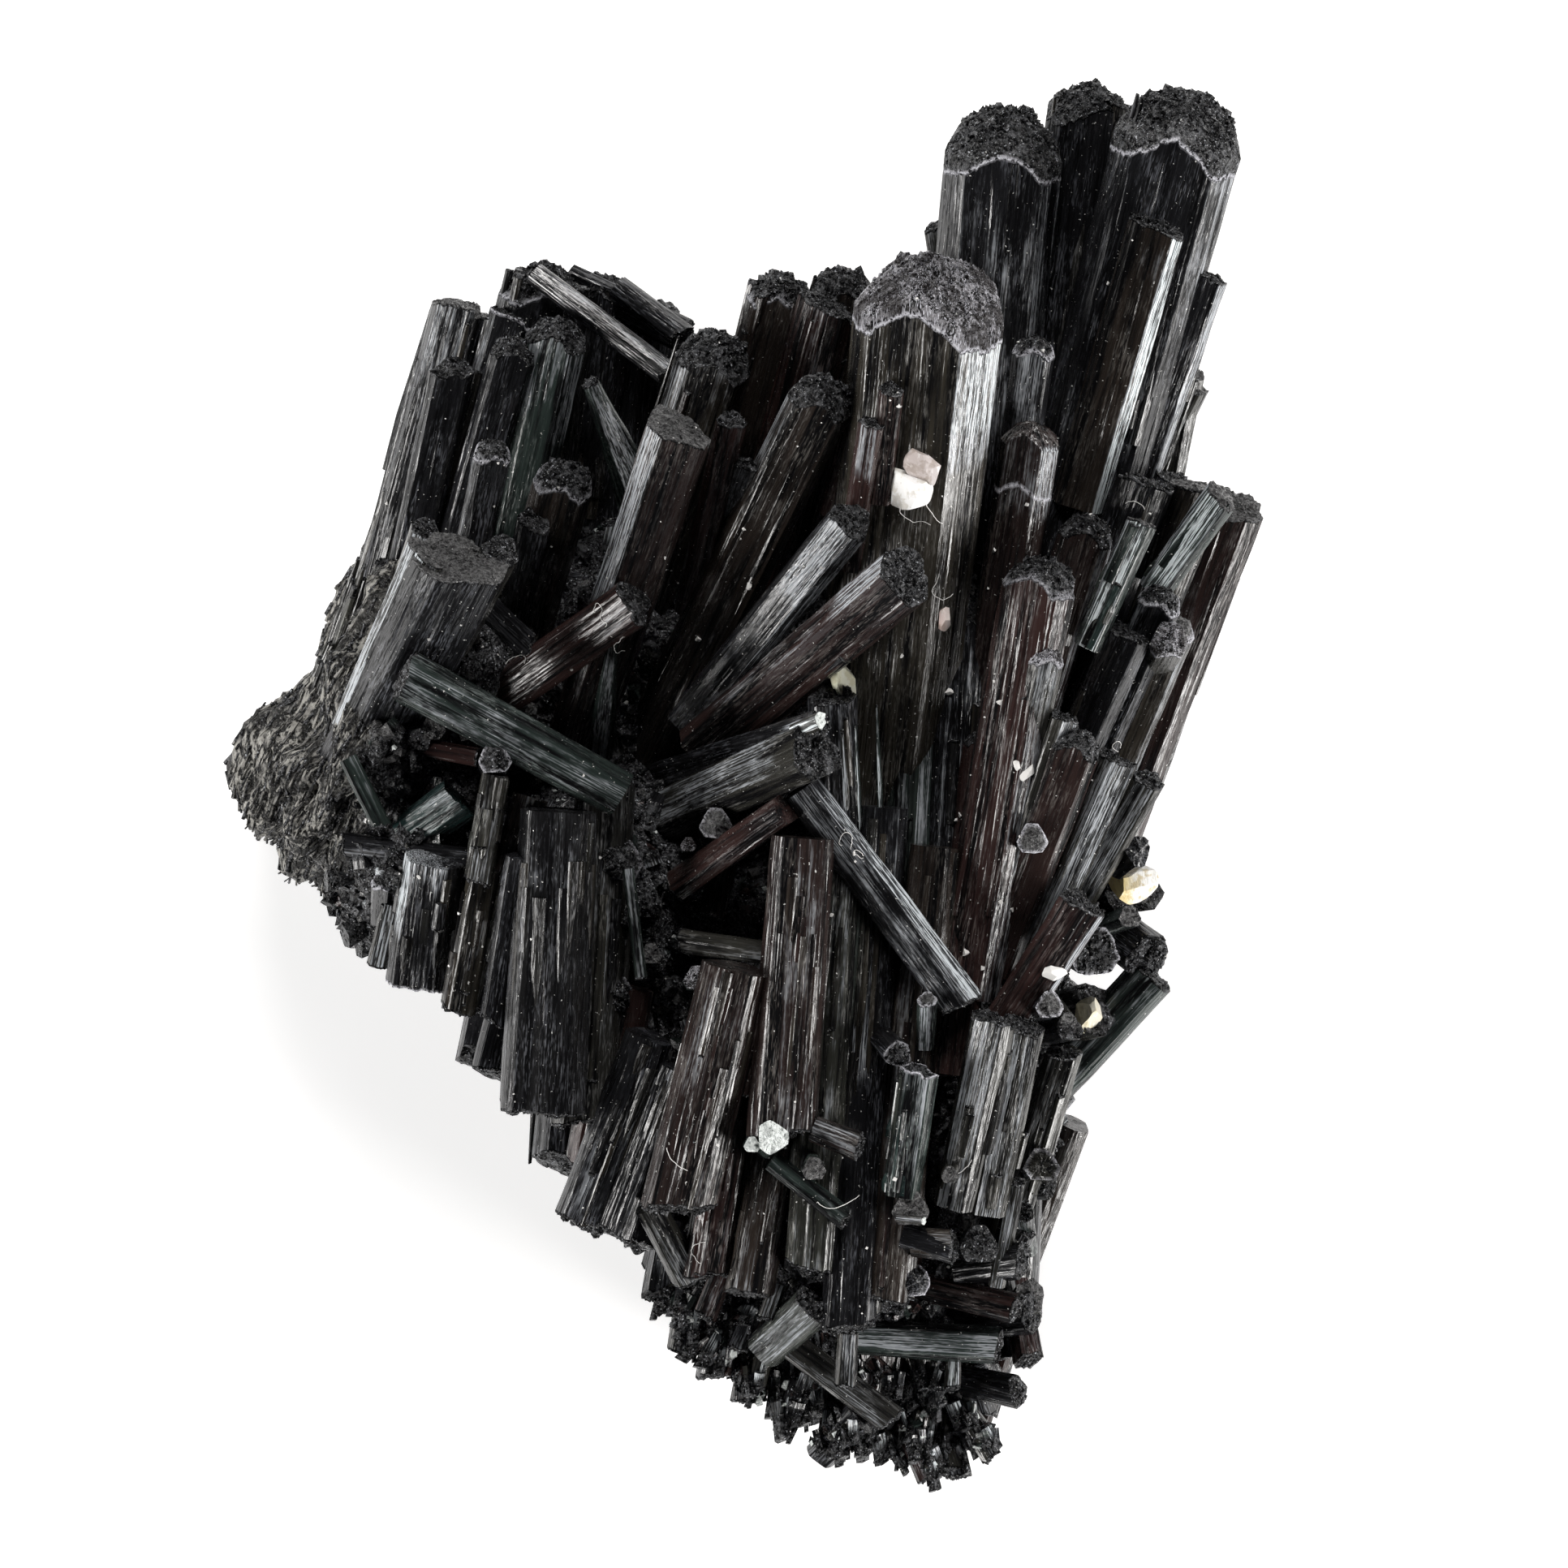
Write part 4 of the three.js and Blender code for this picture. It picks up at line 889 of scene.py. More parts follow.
    ((6.3, -33.8, 22.6), (6.1, -37.2, 21.6), 1.4, 0, BROKEN, GREY, (FRONT, 0.6)),
    ((8.0, -39.0, 15.5), (10.2, -41.8, 15.0), 1.5, -20, BROKEN, GREY, (FRONT, 0.7)),
    ((9.9, -39.4, 16.0), (11.4, -43.0, 15.4), 1.9, 12, BROKEN, BROWN, (FRONT, 0.2)),
    ((12.4, -39.8, 14.0), (13.2, -43.2, 14.0), 1.7, 0, BROKEN, BLACK, (FRONT, 0.4, 1, 0.3)),
    ((13.2, -38.6, 15.0), (15.2, -42.0, 15.4), 1.5, -30, BROKEN, GREY, (FRONT, 0.4, 1, 0.9)),
    ((0.6, -32.4, 18.0), (-0.6, -35.2, 18.6), 1.3, 0, BROKEN, BLACK, (FRONT, 0.3)),
    ((1.6, -33.6, 17.0), (0.6, -37.6, 17.6), 1.2, 10, BROKEN, GREY, (FRONT, 0.3)),
    ((-1.2, -29.6, 20.0), (-2.6, -33.2, 19.4), 1.5, 0, BROKEN, BROWN, (FRONT, 0.2)),
    ((3.4, -37.0, 17.0), (2.4, -39.8, 16.6), 1.4, 0, BROKEN, BLACK, (FRONT, 0.4)),
    ((5.4, -38.4, 16.0), (5.2, -41.2, 15.4), 1.3, -15, BROKEN, GREEN, (FRONT, 0.3)),
    ((2.0, -30.8, 22.0), (1.2, -33.2, 21.6), 1.2, 0, BROKEN, GREY, (FRONT, 0.5)),
    ((7.6, -35.6, 18.5), (9.4, -37.4, 18.0), 1.2, 0, BROKEN, BROWN, (FRONT, 0.2)),
    ((10.6, -36.2, 17.0), (12.0, -38.8, 16.6), 1.4, 18, BROKEN, GREEN, (FRONT, 0.4)),
    ((5.8, -29.8, 23.5), (5.4, -32.4, 22.8), 1.5, 0, BROKEN, BLACK, (FRONT, 0.3)),
    ((7.8, -29.4, 23.5), (7.4, -32.8, 22.6), 1.8, 10, BROKEN, GREY, (FRONT, 0.25)),
    ((-4.6, -27.0, 17.0), (-5.4, -32.2, 16.6), 2.2, 0, BROKEN, BLACK, (FRONT, 0.4, 1, 0.2)),
    ((-3.0, -30.0, 17.5), (-3.7, -35.2, 16.8), 2.3, 10, BROKEN, GREY, (FRONT, 0.3, 1, 0.25)),
    ((-1.2, -31.0, 17.2), (-1.9, -36.8, 16.4), 2.5, -12, BROKEN, BLACK, (FRONT, 0.2, 0.9, 0.2)),
    ((0.9, -33.0, 16.5), (0.1, -38.4, 15.4), 2.3, 0, BROKEN, 0.35, (FRONT, 0.3, 1, 0.2)),
    ((2.9, -34.6, 16.0), (2.4, -39.8, 15.0), 2.1, 15, BROKEN, BLACK, (FRONT, 0.2, 1, 0.3)),
]
dice = random.Random(17)
group = new_shell()
grow_crystals(group, dice, SHORT_CRYSTALS, rib_width=0.11)
keep_piece(group, "short_crystals", schorl, "schorl", "schorl_cluster")

# The four crystals that lie across the cluster: separate prisms of schorl, broken at both ends. Each lies
# on the crystals below and touches them along one side.
CROSS_CRYSTALS = {
    "cross_crystal_left": (
        ((-7.6, -0.8, 24.6), (-21.2, 6.7, 26.8), 3.4, -12, BROKEN, GREEN),
        ((FRONT, 0.35), (RIGHT, 0.1)),
    ),
    "cross_crystal_centre": (
        ((3.5, -0.4, 27.6), (13.5, -13.8, 26.4), 3.1, 24, BROKEN, BLACK),
        ((FRONT, 0.35), (LEFT, 0.1, 1, 1.15)),
    ),
    "cross_crystal_upper": (
        ((-13.0, 31.2, 18.8), (-4.6, 24.8, 21.8), 1.7, -16, BROKEN, BLACK),
        ((FRONT, 0.25), (FRONT, 0.75, 1, 0.5)),
    ),
    "cross_crystal_lower": (
        ((6.3, -34.2, 19.2), (15.8, -34.8, 18.2), 2.4, 0, BROKEN, GREEN),
        ((FRONT, 0.45), (FRONT, 0.9, 1, 0.9)),
    ),
}
dice = random.Random(18)
for name, (spec, stretches) in CROSS_CRYSTALS.items():
    group = new_shell()
    grow_prism(group, dice, *spec, *stretches, rib_width=0.1)
    keep_piece(group, name + "_stone", schorl, "schorl", name)

# The sides and the hidden back: a row of stout prisms broken off at the edge, and under them others that
# the flat break cuts through.
SIDE_CRYSTALS = [
    ((-17.0, -2.0, 13.0), (-20.2, -11.6, 14.5), 5.5, 0, BROKEN, BLACK),
    ((-13.0, -4.0, 13.0), (-15.4, -18.4, 14.5), 5.5, 20, BROKEN, BLACK),
    ((-9.0, -6.0, 13.0), (-10.4, -24.4, 15.5), 6.0, 0, BROKEN, BLACK),
    ((-4.0, -10.0, 14.0), (-6.6, -28.8, 15.5), 6.0, -15, BROKEN, BLACK),
    ((1.0, -14.0, 14.0), (-1.6, -32.4, 15.5), 6.0, 10, BROKEN, BROWN),
    ((5.0, -16.0, 13.0), (3.4, -37.4, 14.0), 6.0, 0, BROKEN, BLACK),
    ((9.0, -18.0, 12.0), (8.8, -40.6, 12.0), 6.0, 25, BROKEN, BLACK),
    ((11.0, -18.0, 13.0), (14.2, -36.4, 13.0), 5.5, 0, BROKEN, BLACK),
    ((16.5, -15.5, 11.0), (21.8, -14.0, 18.5), 3.6, 0, BROKEN, GREY),
    ((20.0, -7.4, 11.0), (24.0, -6.6, 19.5), 3.6, 0, BROKEN, BLACK),
    ((19.0, -3.0, 12.0), (26.4, 13.4, 15.0), 6.0, 0, BROKEN, BLACK),
    ((-21.0, 1.0, 9.0), (-18.6, 21.0, 10.5), 7.0, 0, BROKEN, BLACK, (END, MATTE)),
]
BACK_CRYSTALS = [
    ((-18.0, -2.0, 2.0), (-12.6, 25.5, 3.5), 8.5, 0, BROKEN, GREY, (END, PLAIN)),
    ((-6.0, -2.0, 2.0), (-3.2, 24.5, 4.0), 9.0, 20, DOME, BLACK, (END, MATTE)),
    ((3.5, -4.0, 2.5), (7.6, 27.5, 5.5), 9.5, -10, DOME, BLACK),
    ((13.0, 0.0, 3.0), (20.4, 36.0, 9.5), 9.0, 25, BROKEN, BLACK, (END, PLAIN)),
    ((15.0, -8.0, 2.5), (24.8, 13.0, 4.5), 8.5, 10, BROKEN, BROWN),
    ((12.0, -18.0, 2.5), (19.4, -4.0, 4.0), 9.0, 0, BROKEN, GREY),
    ((-12.0, -1.0, 2.0), (-14.0, -16.0, 3.5), 8.5, 0, BROKEN, GREY),
    ((-3.0, -4.0, 2.0), (-5.0, -25.0, 4.0), 9.5, 20, BROKEN, BLACK),
    ((5.5, -10.0, 2.0), (3.6, -34.0, 4.0), 9.5, -15, BROKEN, BLACK),
    ((10.0, -14.0, 2.5), (12.4, -37.0, 4.0), 8.0, 0, BROKEN, GREY),
]
# Each crystal is cut a hair higher than the last, so that no two cut faces lie in one plane.
BACK_CUT_STEP = 0.012
dice = random.Random(19)
group = new_shell()
for spec in SIDE_CRYSTALS:
    grow_prism(group, dice, *spec, rib_width=0.3)
    grow_rods(group, dice, spec, 3, 0.7, 1.6)
for number, spec in enumerate(BACK_CRYSTALS):
    grow_prism(group, dice, *spec, rib_width=0.4, cut=BACK_CUT_STEP * number)
keep_piece(group, "side_and_back_crystals", schorl, "schorl", "schorl_cluster")

# The broken edge under the ledge, down the right side and under the fan at the back: stout columns of
# schorl, side by side, that snapped off where the cluster was parted from its rock.
FRONT_EDGE = [
    (-17.5, -12.0), (-16.4, -14.4), (-14.8, -20.2), (-10.8, -27.6), (-8.0, -29.0),
    (-6.1, -31.7), (-4.0, -34.4), (-0.3, -38.4), (4.4, -41.2), (10.0, -42.3),
    (13.7, -43.0), (15.8, -39.8), (17.4, -36.0), (19.0, -30.0),
]
RIGHT_EDGE = [
    (-38.0, 16.4), (-32.0, 17.6), (-24.5, 18.4), (-20.0, 18.8),
    (-14.0, 21.0), (-10.0, 23.2), (4.0, 25.4),
]
BACK_EDGE = [
    (-20.0, 17.0), (-18.6, 20.0), (-12.6, 24.5), (-3.2, 24.0),
    (7.6, 26.5), (14.0, 30.0), (20.4, 34.5), (24.0, 28.0),
]
FRONT_COLUMNS = 64
RIGHT_COLUMNS = 26
BACK_COLUMNS = 42
EDGE_TONES = (BLACK, BLACK, BROWN, GREY, 0.35)
RIGHT_EDGE_TONES = (BLACK, BLACK, BROWN, GREY, GREEN)
# The level of the lowest cut in each row, and how much higher each column of a row is cut than the last.
FRONT_CUT = 0.2
RIGHT_CUT = 0.5
BACK_CUT = 0.65
COLUMN_CUT_STEP = 0.004


def edge_at(edge, along):
    """How far out the broken edge lies at this place along it."""
    for (low, a), (high, b) in zip(edge, edge[1:]):
        if low <= along <= high:
            return a + (b - a) * (along - low) / (high - low)
    return edge[0][1] if along < edge[0][0] else edge[-1][1]


def add_column(group, dice, foot, tip, width, tones, cut, rib_width=0.25):
    """Grows one column, with a tone, often a painted highlight on its front, a broken end and a turn of its
    own.
    """
    tone = dice.choice(tones)
    wear_and_sheen = (FRONT, dice.choice((0, 0, 0.1, 0.2)))
    snapped = (END, dice.choice((PLAIN, COALY, MATTE)))
    spec = (foot, tip, width, dice.uniform(-30, 30), BROKEN, tone, wear_and_sheen, snapped)
    grow_prism(group, dice, *spec, rib_width=rib_width, cut=cut)


dice = random.Random(24)
group = new_shell()
for number in range(FRONT_COLUMNS):
    width = dice.uniform(1.6, 4.8)
    x = -16.0 + 33.0 * (number + dice.random()) / FRONT_COLUMNS
    y = max(edge_at(FRONT_EDGE, x + side * width / 2) for side in (-1, 0, 1))
    y = y + 0.1 + 2.6 * dice.random() ** 1.8
    level = dice.uniform(1.8, 15.5)
    heading = math.radians(x - 8 + dice.uniform(-30, 30))
    foot = (x - 9 * math.sin(heading), y + 9 * math.cos(heading), level + dice.uniform(-3.0, 3.5))
    add_column(group, dice, foot, (x, y, level), width, EDGE_TONES, FRONT_CUT + COLUMN_CUT_STEP * number)
for number in range(RIGHT_COLUMNS):
    width = dice.uniform(1.8, 4.2)
    y = -36.0 + 38.0 * (number + dice.random()) / RIGHT_COLUMNS
    x = edge_at(RIGHT_EDGE, y) - dice.uniform(0.9, 2.6)
    level = dice.uniform(1.8, 13.0)
    foot = (x - 6.5, y - dice.uniform(1.0, 7.0), level - dice.uniform(-1.0, 4.0))
    cut = RIGHT_CUT + COLUMN_CUT_STEP * number
    add_column(group, dice, foot, (x, y, level), width, RIGHT_EDGE_TONES, cut)
for number in range(BACK_COLUMNS):
    width = dice.uniform(1.8, 4.4)
    x = -19.5 + 42.0 * (number + dice.random()) / BACK_COLUMNS
    y = edge_at(BACK_EDGE, x) - 0.4 - 6.5 * dice.random() ** 1.3
    level = dice.uniform(2.0, 12.5)
    heading = math.radians(0.9 * x + dice.uniform(-14, 14))
    foot = (x - 12 * math.sin(heading), y - 12 * math.cos(heading), level - dice.uniform(-1.0, 3.0))
    cut = BACK_CUT + COLUMN_CUT_STEP * number
    add_column(group, dice, foot, (x, y, level), width, EDGE_TONES, cut, rib_width=0.3)
keep_piece(group, "edge_columns", schorl, "schorl", "schorl_cluster")

# The crumbled root that everything grew from: a mass of crushed schorl in long grains and pits, duller
# and browner than the crystals, cut off flat where the cluster broke away from its rock.
ROOT_LUMPS = [
    ((-25.4, -0.2, 7.0), (5.9, 5.6, 13.5)),
    ((-22.4, 2.6, 9.5), (5.4, 7.6, 14.0)),
    ((-20.0, -4.6, 9.0), (6.4, 6.6, 14.0)),
    ((-18.5, 7.0, 7.0), (7.5, 9.0, 15.0)),
    ((-9.0, 8.0, 5.0), (9.5, 11.0, 12.5)),
    ((-8.0, -7.4, 8.0), (8.0, 10.4, 15.0)),
    ((1.5, 3.0, 4.0), (11.0, 13.0, 12.0)),
    ((2.0, -17.0, 7.0), (9.5, 14.0, 17.0)),
    ((8.0, -31.0, 5.5), (6.6, 6.8, 15.0)),
    ((5.2, -33.8, 5.0), (3.6, 3.8, 12.5)),
    ((11.8, -34.8, 4.5), (3.4, 4.2, 11.0)),
    ((13.0, -28.0, 5.5), (3.2, 7.6, 14.0)),
    ((-3.4, -23.8, 6.0), (4.6, 5.2, 14.0)),
    ((1.4, -29.6, 5.5), (4.4, 4.8, 14.0)),
    ((11.8, 1.0, 6.0), (8.6, 12.6, 16.0)),
    ((13.8, -15.0, 6.5), (6.4, 13.6, 15.0)),
]
VOXEL = 0.58
ROOT_CUT = 0.12
LOWEST_SPOT = 0.9
# The root's grains run the way the crystals point. These are roughly the cosine and sine of their turn
# from the picture's upright.
GRAIN_COS = 0.91
GRAIN_SIN = 0.42
PIT_OFFSET = Vector((7, 3, 5))


def slope_share(place):
    """How much of the root at this place is the pale left slope."""
    edge = -23.4 + 0.45 * max(0, place.y) + 2 * noise.noise(place * 0.4)
    return min(1, max(0, (edge - place.x) / 1.5)) * min(1, max(0, (place.y + 8.5) / 4))


lumps = bmesh.new()
for centre, half in ROOT_LUMPS:
    made = bmesh.ops.create_icosphere(lumps, subdivisions=4, radius=1)["verts"]
    bmesh.ops.scale(lumps, vec=half, verts=made)
    bmesh.ops.translate(lumps, vec=centre, verts=made)
lump_mesh = bpy.data.meshes.new("root_lumps")
lumps.to_mesh(lump_mesh)
lumps.free()
lump_piece = bpy.data.objects.new("root_lumps", lump_mesh)
bpy.context.collection.objects.link(lump_piece)
fuse = lump_piece.modifiers.new("fuse", "REMESH")
fuse.mode = "VOXEL"
fuse.voxel_size = VOXEL
fused_piece = lump_piece.evaluated_get(bpy.context.evaluated_depsgraph_get())
fused_mesh = bpy.data.meshes.new_from_object(fused_piece)
bpy.data.objects.remove(lump_piece)

root = bmesh.new()
root.from_mesh(fused_mesh)
bpy.data.meshes.remove(fused_mesh)
root.normal_update()
grain = root.verts.layers.float_vector.new("grain")
look = root.verts.layers.float_vector.new("look")
for vert in root.verts:
    x, y, z = vert.co
    across, along = GRAIN_COS * x - GRAIN_SIN * y, GRAIN_SIN * x + GRAIN_COS * y
    ridges = noise.noise(Vector((across / 0.5, along / 2.4, z / 0.9)))
    ribs = 1 - abs(noise.noise(Vector((across / 1.3, along / 4.0, z / 2.0)))) * 2.4
    crumbs = noise.noise(Vector((x, y, z)) * 1.5)
    pits = max(0, noise.noise(Vector((x, y, z)) * 0.5 + PIT_OFFSET) - 0.2)
    folds = noise.noise(Vector((across / 2.4, along / 6.0, z / 3.6)))
    slope = slope_share(vert.co)
    vert[grain] = (across, z, along)
    vert[look] = (slope, 0, 0)
    rise = 0.3 * ribs + 0.42 * ridges + 0.3 * crumbs + 2.2 * folds * slope - 1.5 * pits - 0.3
    vert.co += vert.normal * rise
cut_away(root, (0, 0, ROOT_CUT), (0, 0, -1))


def root_finish():
    """Crushed schorl: fine grey-brown grains on the left slope, black and glinting elsewhere."""
    finish = Finish("crushed_schorl")
    grain = finish.attribute("grain")
    look = finish.node("ShaderNodeSeparateXYZ", Vector=finish.attribute("look"))
    shreds = finish.grain(finish.stretch(grain, (1, 1, 0.24)), 4.2, 3.0, 0.7)
    clouds = finish.grain(finish.stretch(grain, (1, 1, 0.5)), 0.8, 3.0, 0.6)
    specks = finish.grain(grain, 5.5, 3.0, 0.8)
    dark = finish.blend(finish.between(specks, 0.46, 0.68), (0.005, 0.005, 0.006, 1), (0.16, 0.163, 0.172, 1))
    pale = finish.blend(finish.between(shreds, 0.45, 0.57), (0.006, 0.0058, 0.0055, 1), (0.40, 0.39, 0.36, 1))
    glints = finish.grain(grain, 7.0, 1.0, 0.5)
    dark = finish.blend(finish.between(glints, 0.66, 0.70, 0.0, 0.9), dark, (0.50, 0.52, 0.56, 1))
    pale = finish.blend(finish.between(clouds, 0.40, 0.54, 0.92, 0.0), pale, (0.010, 0.0095, 0.009, 1))
    pale = finish.blend(finish.between(specks, 0.60, 0.70, 0, 0.8), pale, (0.42, 0.41, 0.39, 1))
    colour = finish.blend(look.outputs["X"], dark, pale)
    finish.set("Base Color", finish.dusted(grain, colour))
    finish.set("Roughness", finish.between(specks, 0.3, 0.7, 0.22, 0.5))
    finish.set("IOR", 1.5)
    finish.set("Specular IOR Level", finish.between(specks, 0.42, 0.62, 0.1, 0.6))
    finish.set("Normal", finish.bump(specks, 1.0, 0.25, below=finish.bump(shreds, 1.0, 0.25)))
    return finish.material


crushed_schorl = root_finish()
root_spots = [
    (face.calc_center_median(), face.normal.copy(), face.calc_area())
    for face in root.faces
    if face.calc_center_median().z > LOWEST_SPOT
]
keep_piece(root, "root", crushed_schorl, "schorl", "schorl_cluster")

# Splinters of the left slope: long grains of crushed schorl that all run the way the crystals point, half
# sunk in the root.
SPLINTER_COUNT = 2600
# Bits are made this many at a time, because each operator slows down as its mesh grows.
CHUNK = 130


def lay_along(shell, verts, axis, place):
    """Turns a bit that points up so that it points along this axis, and sets it in its place."""
    turned = axis.to_track_quat("Z", "Y").to_matrix().to_4x4()
    turned.translation = place
    bmesh.ops.transform(shell, matrix=turned, verts=verts)


dice = random.Random(20)
slope_spots = [spot for spot in root_spots if slope_share(spot[0]) > 0.4]
picked = dice.choices(slope_spots, weights=[spot[2] for spot in slope_spots], k=SPLINTER_COUNT)
group = bmesh.new()
for first in range(0, SPLINTER_COUNT, CHUNK):
    splinters = bmesh.new()
    grain = splinters.verts.layers.float_vector.new("grain")
    look = splinters.verts.layers.float_vector.new("look")
    for spot, normal, _ in picked[first : first + CHUNK]:
        axis = Vector((0.42 + dice.uniform(-0.16, 0.16), 0.9, 0.25 + dice.uniform(-0.25, 0.25)))
        axis = (axis - normal * axis.dot(normal) * dice.uniform(0.7, 1.0)).normalized()
        width, depth = 0.10 + 0.28 * dice.random() ** 2, dice.uniform(0.4, 1.5)
        made = bmesh.ops.create_cone(
            splinters,
            cap_ends=True,
            segments=dice.choice((4, 5, 6)),
            radius1=width / 2,
            radius2=width / 2 * dice.uniform(0.3, 0.9),
            depth=depth,
        )["verts"]
        start = Vector((dice.uniform(0, 90), dice.uniform(0, 90), 0))
        pale = dice.choice((0.0, 0.0, 0.5, 1.0, 1.0))
        for vert in made:
            vert[grain] = start + vert.co
            vert[look] = (pale, 0, 0)
        lay_along(splinters, made, axis, spot + normal * width * 0.12)
    merge(group, splinters)
keep_piece(group, "slope_splinters", crushed_schorl, "schorl", "schorl_cluster")

# Stubs and crumbs on the rest of the root: small prisms and broken bits of schorl, up to two and a half
# millimetres long, that crowd its lower edge, its sides and the hollow.
CRUMB_COUNT = 7800
STUBS_A_CHUNK = 17
ROOT_STUB_PIECES = 2
BIT_TONES = (BLACK, BLACK, GREY, GREEN, BROWN)
# How the crumbs look, as END says it: one in fourteen is glass-like and painted bright as a glint, and it is
# kept small.
CRUMB_KINDS = (COALY,) * 7 + (MATTE,) * 3 + (PLAIN,) * 3 + (GLINTING,)
dice = random.Random(21)
other_spots = [spot for spot in root_spots if slope_share(spot[0]) < 0.5]
areas = [spot[2] for spot in other_spots]


def add_stub(stubs, dice, spot, axis, width, depth):
    """Sets one short broken prism of schorl half into a surface, in millimetres."""
    made = bmesh.ops.create_cone(
        stubs,
        cap_ends=True,
        segments=dice.choice((5, 6, 6)),
        radius1=width / 2,
        radius2=width / 2 * dice.uniform(0.86, 1.0),
        depth=depth,
    )["verts"]
    tone = dice.choice(BIT_TONES)
    # Some stubs get painted highlights on their facets, where they would catch the lamps.
    wear_and_sheen = dice.choice((0, 0, 0, 0.3, 0.6, 1.2))
    start = Vector((dice.uniform(0, 90), dice.uniform(0, 90), 0))
    for vert in made:
        top = vert.co.z > 0
        vert[stubs.verts.layers.float["painted_sheen"]] = wear_and_sheen
        vert[stubs.verts.layers.float_vector["grain"]] = start + vert.co
        vert[stubs.verts.layers.float_vector["look"]] = (tone, COALY if top else PLAIN, 0)
        if top:
            vert.co.z += 0.3 * vert.co.x * (1 if width > 1.2 else -1)
    lay_along(stubs, made, axis, spot + axis * depth * 0.05)


for part in range(ROOT_STUB_PIECES):
    group = new_shell()
    for _ in range(0, CRUMB_COUNT // ROOT_STUB_PIECES, CHUNK):
        stubs = new_shell()
        for spot, normal, _ in dice.choices(other_spots, weights=areas, k=STUBS_A_CHUNK):
            lean = anywhere(dice, -1, 1)
            axis = (normal * 0.3 + Vector((-0.1, -0.4, 0.5)) + lean * 0.75).normalized()
            width, depth = 0.4 + 1.4 * dice.random() ** 2, dice.uniform(0.8, 2.4)
            add_stub(stubs, dice, spot, axis, width, depth)
        for spot, normal, _ in dice.choices(other_spots, weights=areas, k=CHUNK):
            tone = dice.choice(BIT_TONES)
            kind = dice.choice(CRUMB_KINDS)
            size = 0.25 if kind == GLINTING else dice.choice((0.3, 0.4, 0.6, 0.9))
            add_crumb(stubs, spot + normal * 0.05, size, (tone, kind, 0), dice)
        merge(group, stubs)
    keep_piece(group, f"root_stubs_{part + 1}", schorl, "schorl", "schorl_cluster")

# The lower edge, where the cluster tapers off: broken bits of schorl that lie on the short crystals and
# between them, and roughen the edge.
LOWER_EDGE = [
    (-6.6, -32.0), (-3.9, -34.8), (0.2, -38.4), (4.1, -41.4),
    (8.0, -42.4), (12.0, -43.0), (15.6, -40.8),
]
LOWER_MIDDLE = Vector((5.0, -27.0))
LOWER_LEVELS = (8, 18.8)
LOWER_ROUNDS = 15
BITS_A_ROUND = 70
STUBS_A_ROUND = 26
LOWER_CRUMB_KINDS = (COALY,) * 4 + (MATTE,) + (PLAIN,) * 4 + (GLINTING,)
RAY_START = 60
dice = random.Random(25)


def height_under(x, y):
    """How high the cluster stands at this place, in millimetres."""
    seen = bpy.context.evaluated_depsgraph_get()
    above = (x * MM, y * MM, RAY_START * MM)
    hit, spot, *_ = bpy.context.scene.ray_cast(seen, above, (0, 0, -1))
    return spot.z / MM if hit else 0


def near_lower_edge():
    """A place near the lower edge, on whatever lies there, and the way out from the middle."""
    along = dice.random() * (len(LOWER_EDGE) - 1)
    first = int(along)
    edge = Vector(LOWER_EDGE[first]).lerp(Vector(LOWER_EDGE[first + 1]), along - first)
    outward = (edge - LOWER_MIDDLE).normalized()
    spot = edge - outward * (0.4 + 7.0 * dice.random() ** 1.3)
    return Vector((*spot, height_under(*spot))), Vector((*outward, 0))


group = new_shell()
for _ in range(LOWER_ROUNDS):
    bits = new_shell()
    for number in range(BITS_A_ROUND):
        spot, outward = near_lower_edge()
        if not LOWER_LEVELS[0] < spot.z < LOWER_LEVELS[1]:
            continue
        if number < STUBS_A_ROUND:
            lean = anywhere(dice, -1, 1)
            axis = (outward * 0.5 + Vector((-0.1, -0.8, 0.1)) + lean * 0.5).normalized()
            add_stub(bits, dice, spot, axis, 0.3 + 0.8 * dice.random() ** 2, dice.uniform(0.9, 2.4))
        else:
            kind = dice.choice(LOWER_CRUMB_KINDS)
            tone = dice.choice(BIT_TONES)
            add_crumb(bits, spot, dice.choice((0.25, 0.35, 0.5, 0.7)), (tone, kind, 0), dice)
    merge(group, bits)
keep_piece(group, "lower_edge_crumbs", schorl, "schorl", "schorl_cluster")

# Feldspar: small grains, white, cream and pinkish, that sit on the crystals. Each split along its
# cleavage, so it is a block with flat faces.
FELDSPAR_GRAINS = {
    "feldspar_grain_white": ((9.9, 17.9, 28.9), (1.2, 1.25, 0.8), 20, (0.95, 0.95, 0.93), (0.98, 0.98, 0.98)),
    "feldspar_grain_pale": ((11.1, 19.1, 29.2), (1.2, 1.1, 0.8), -25, (0.50, 0.44, 0.42), (0.60, 0.55, 0.54)),
    "feldspar_flake_cream": ((5.8, 6.1, 25.2), (0.75, 1.4, 0.6), 8, (0.80, 0.80, 0.60), (0.74, 0.74, 0.62)),
    "feldspar_grain_pink": ((12.1, 10.1, 26.1), (0.45, 0.75, 0.5), 0, (0.72, 0.56, 0.52), (0.85, 0.76, 0.72)),
    "feldspar_grain_edge": ((23.7, -6.3, 20.1), (1.35, 1.0, 0.9), 20, (0.82, 0.68, 0.34), (0.95, 0.94, 0.90)),
    "feldspar_grain_low": ((21.1, -14.4, 18.9), (1.05, 0.8, 0.7), 30, (0.84, 0.78, 0.56), (0.60, 0.57, 0.48)),
}


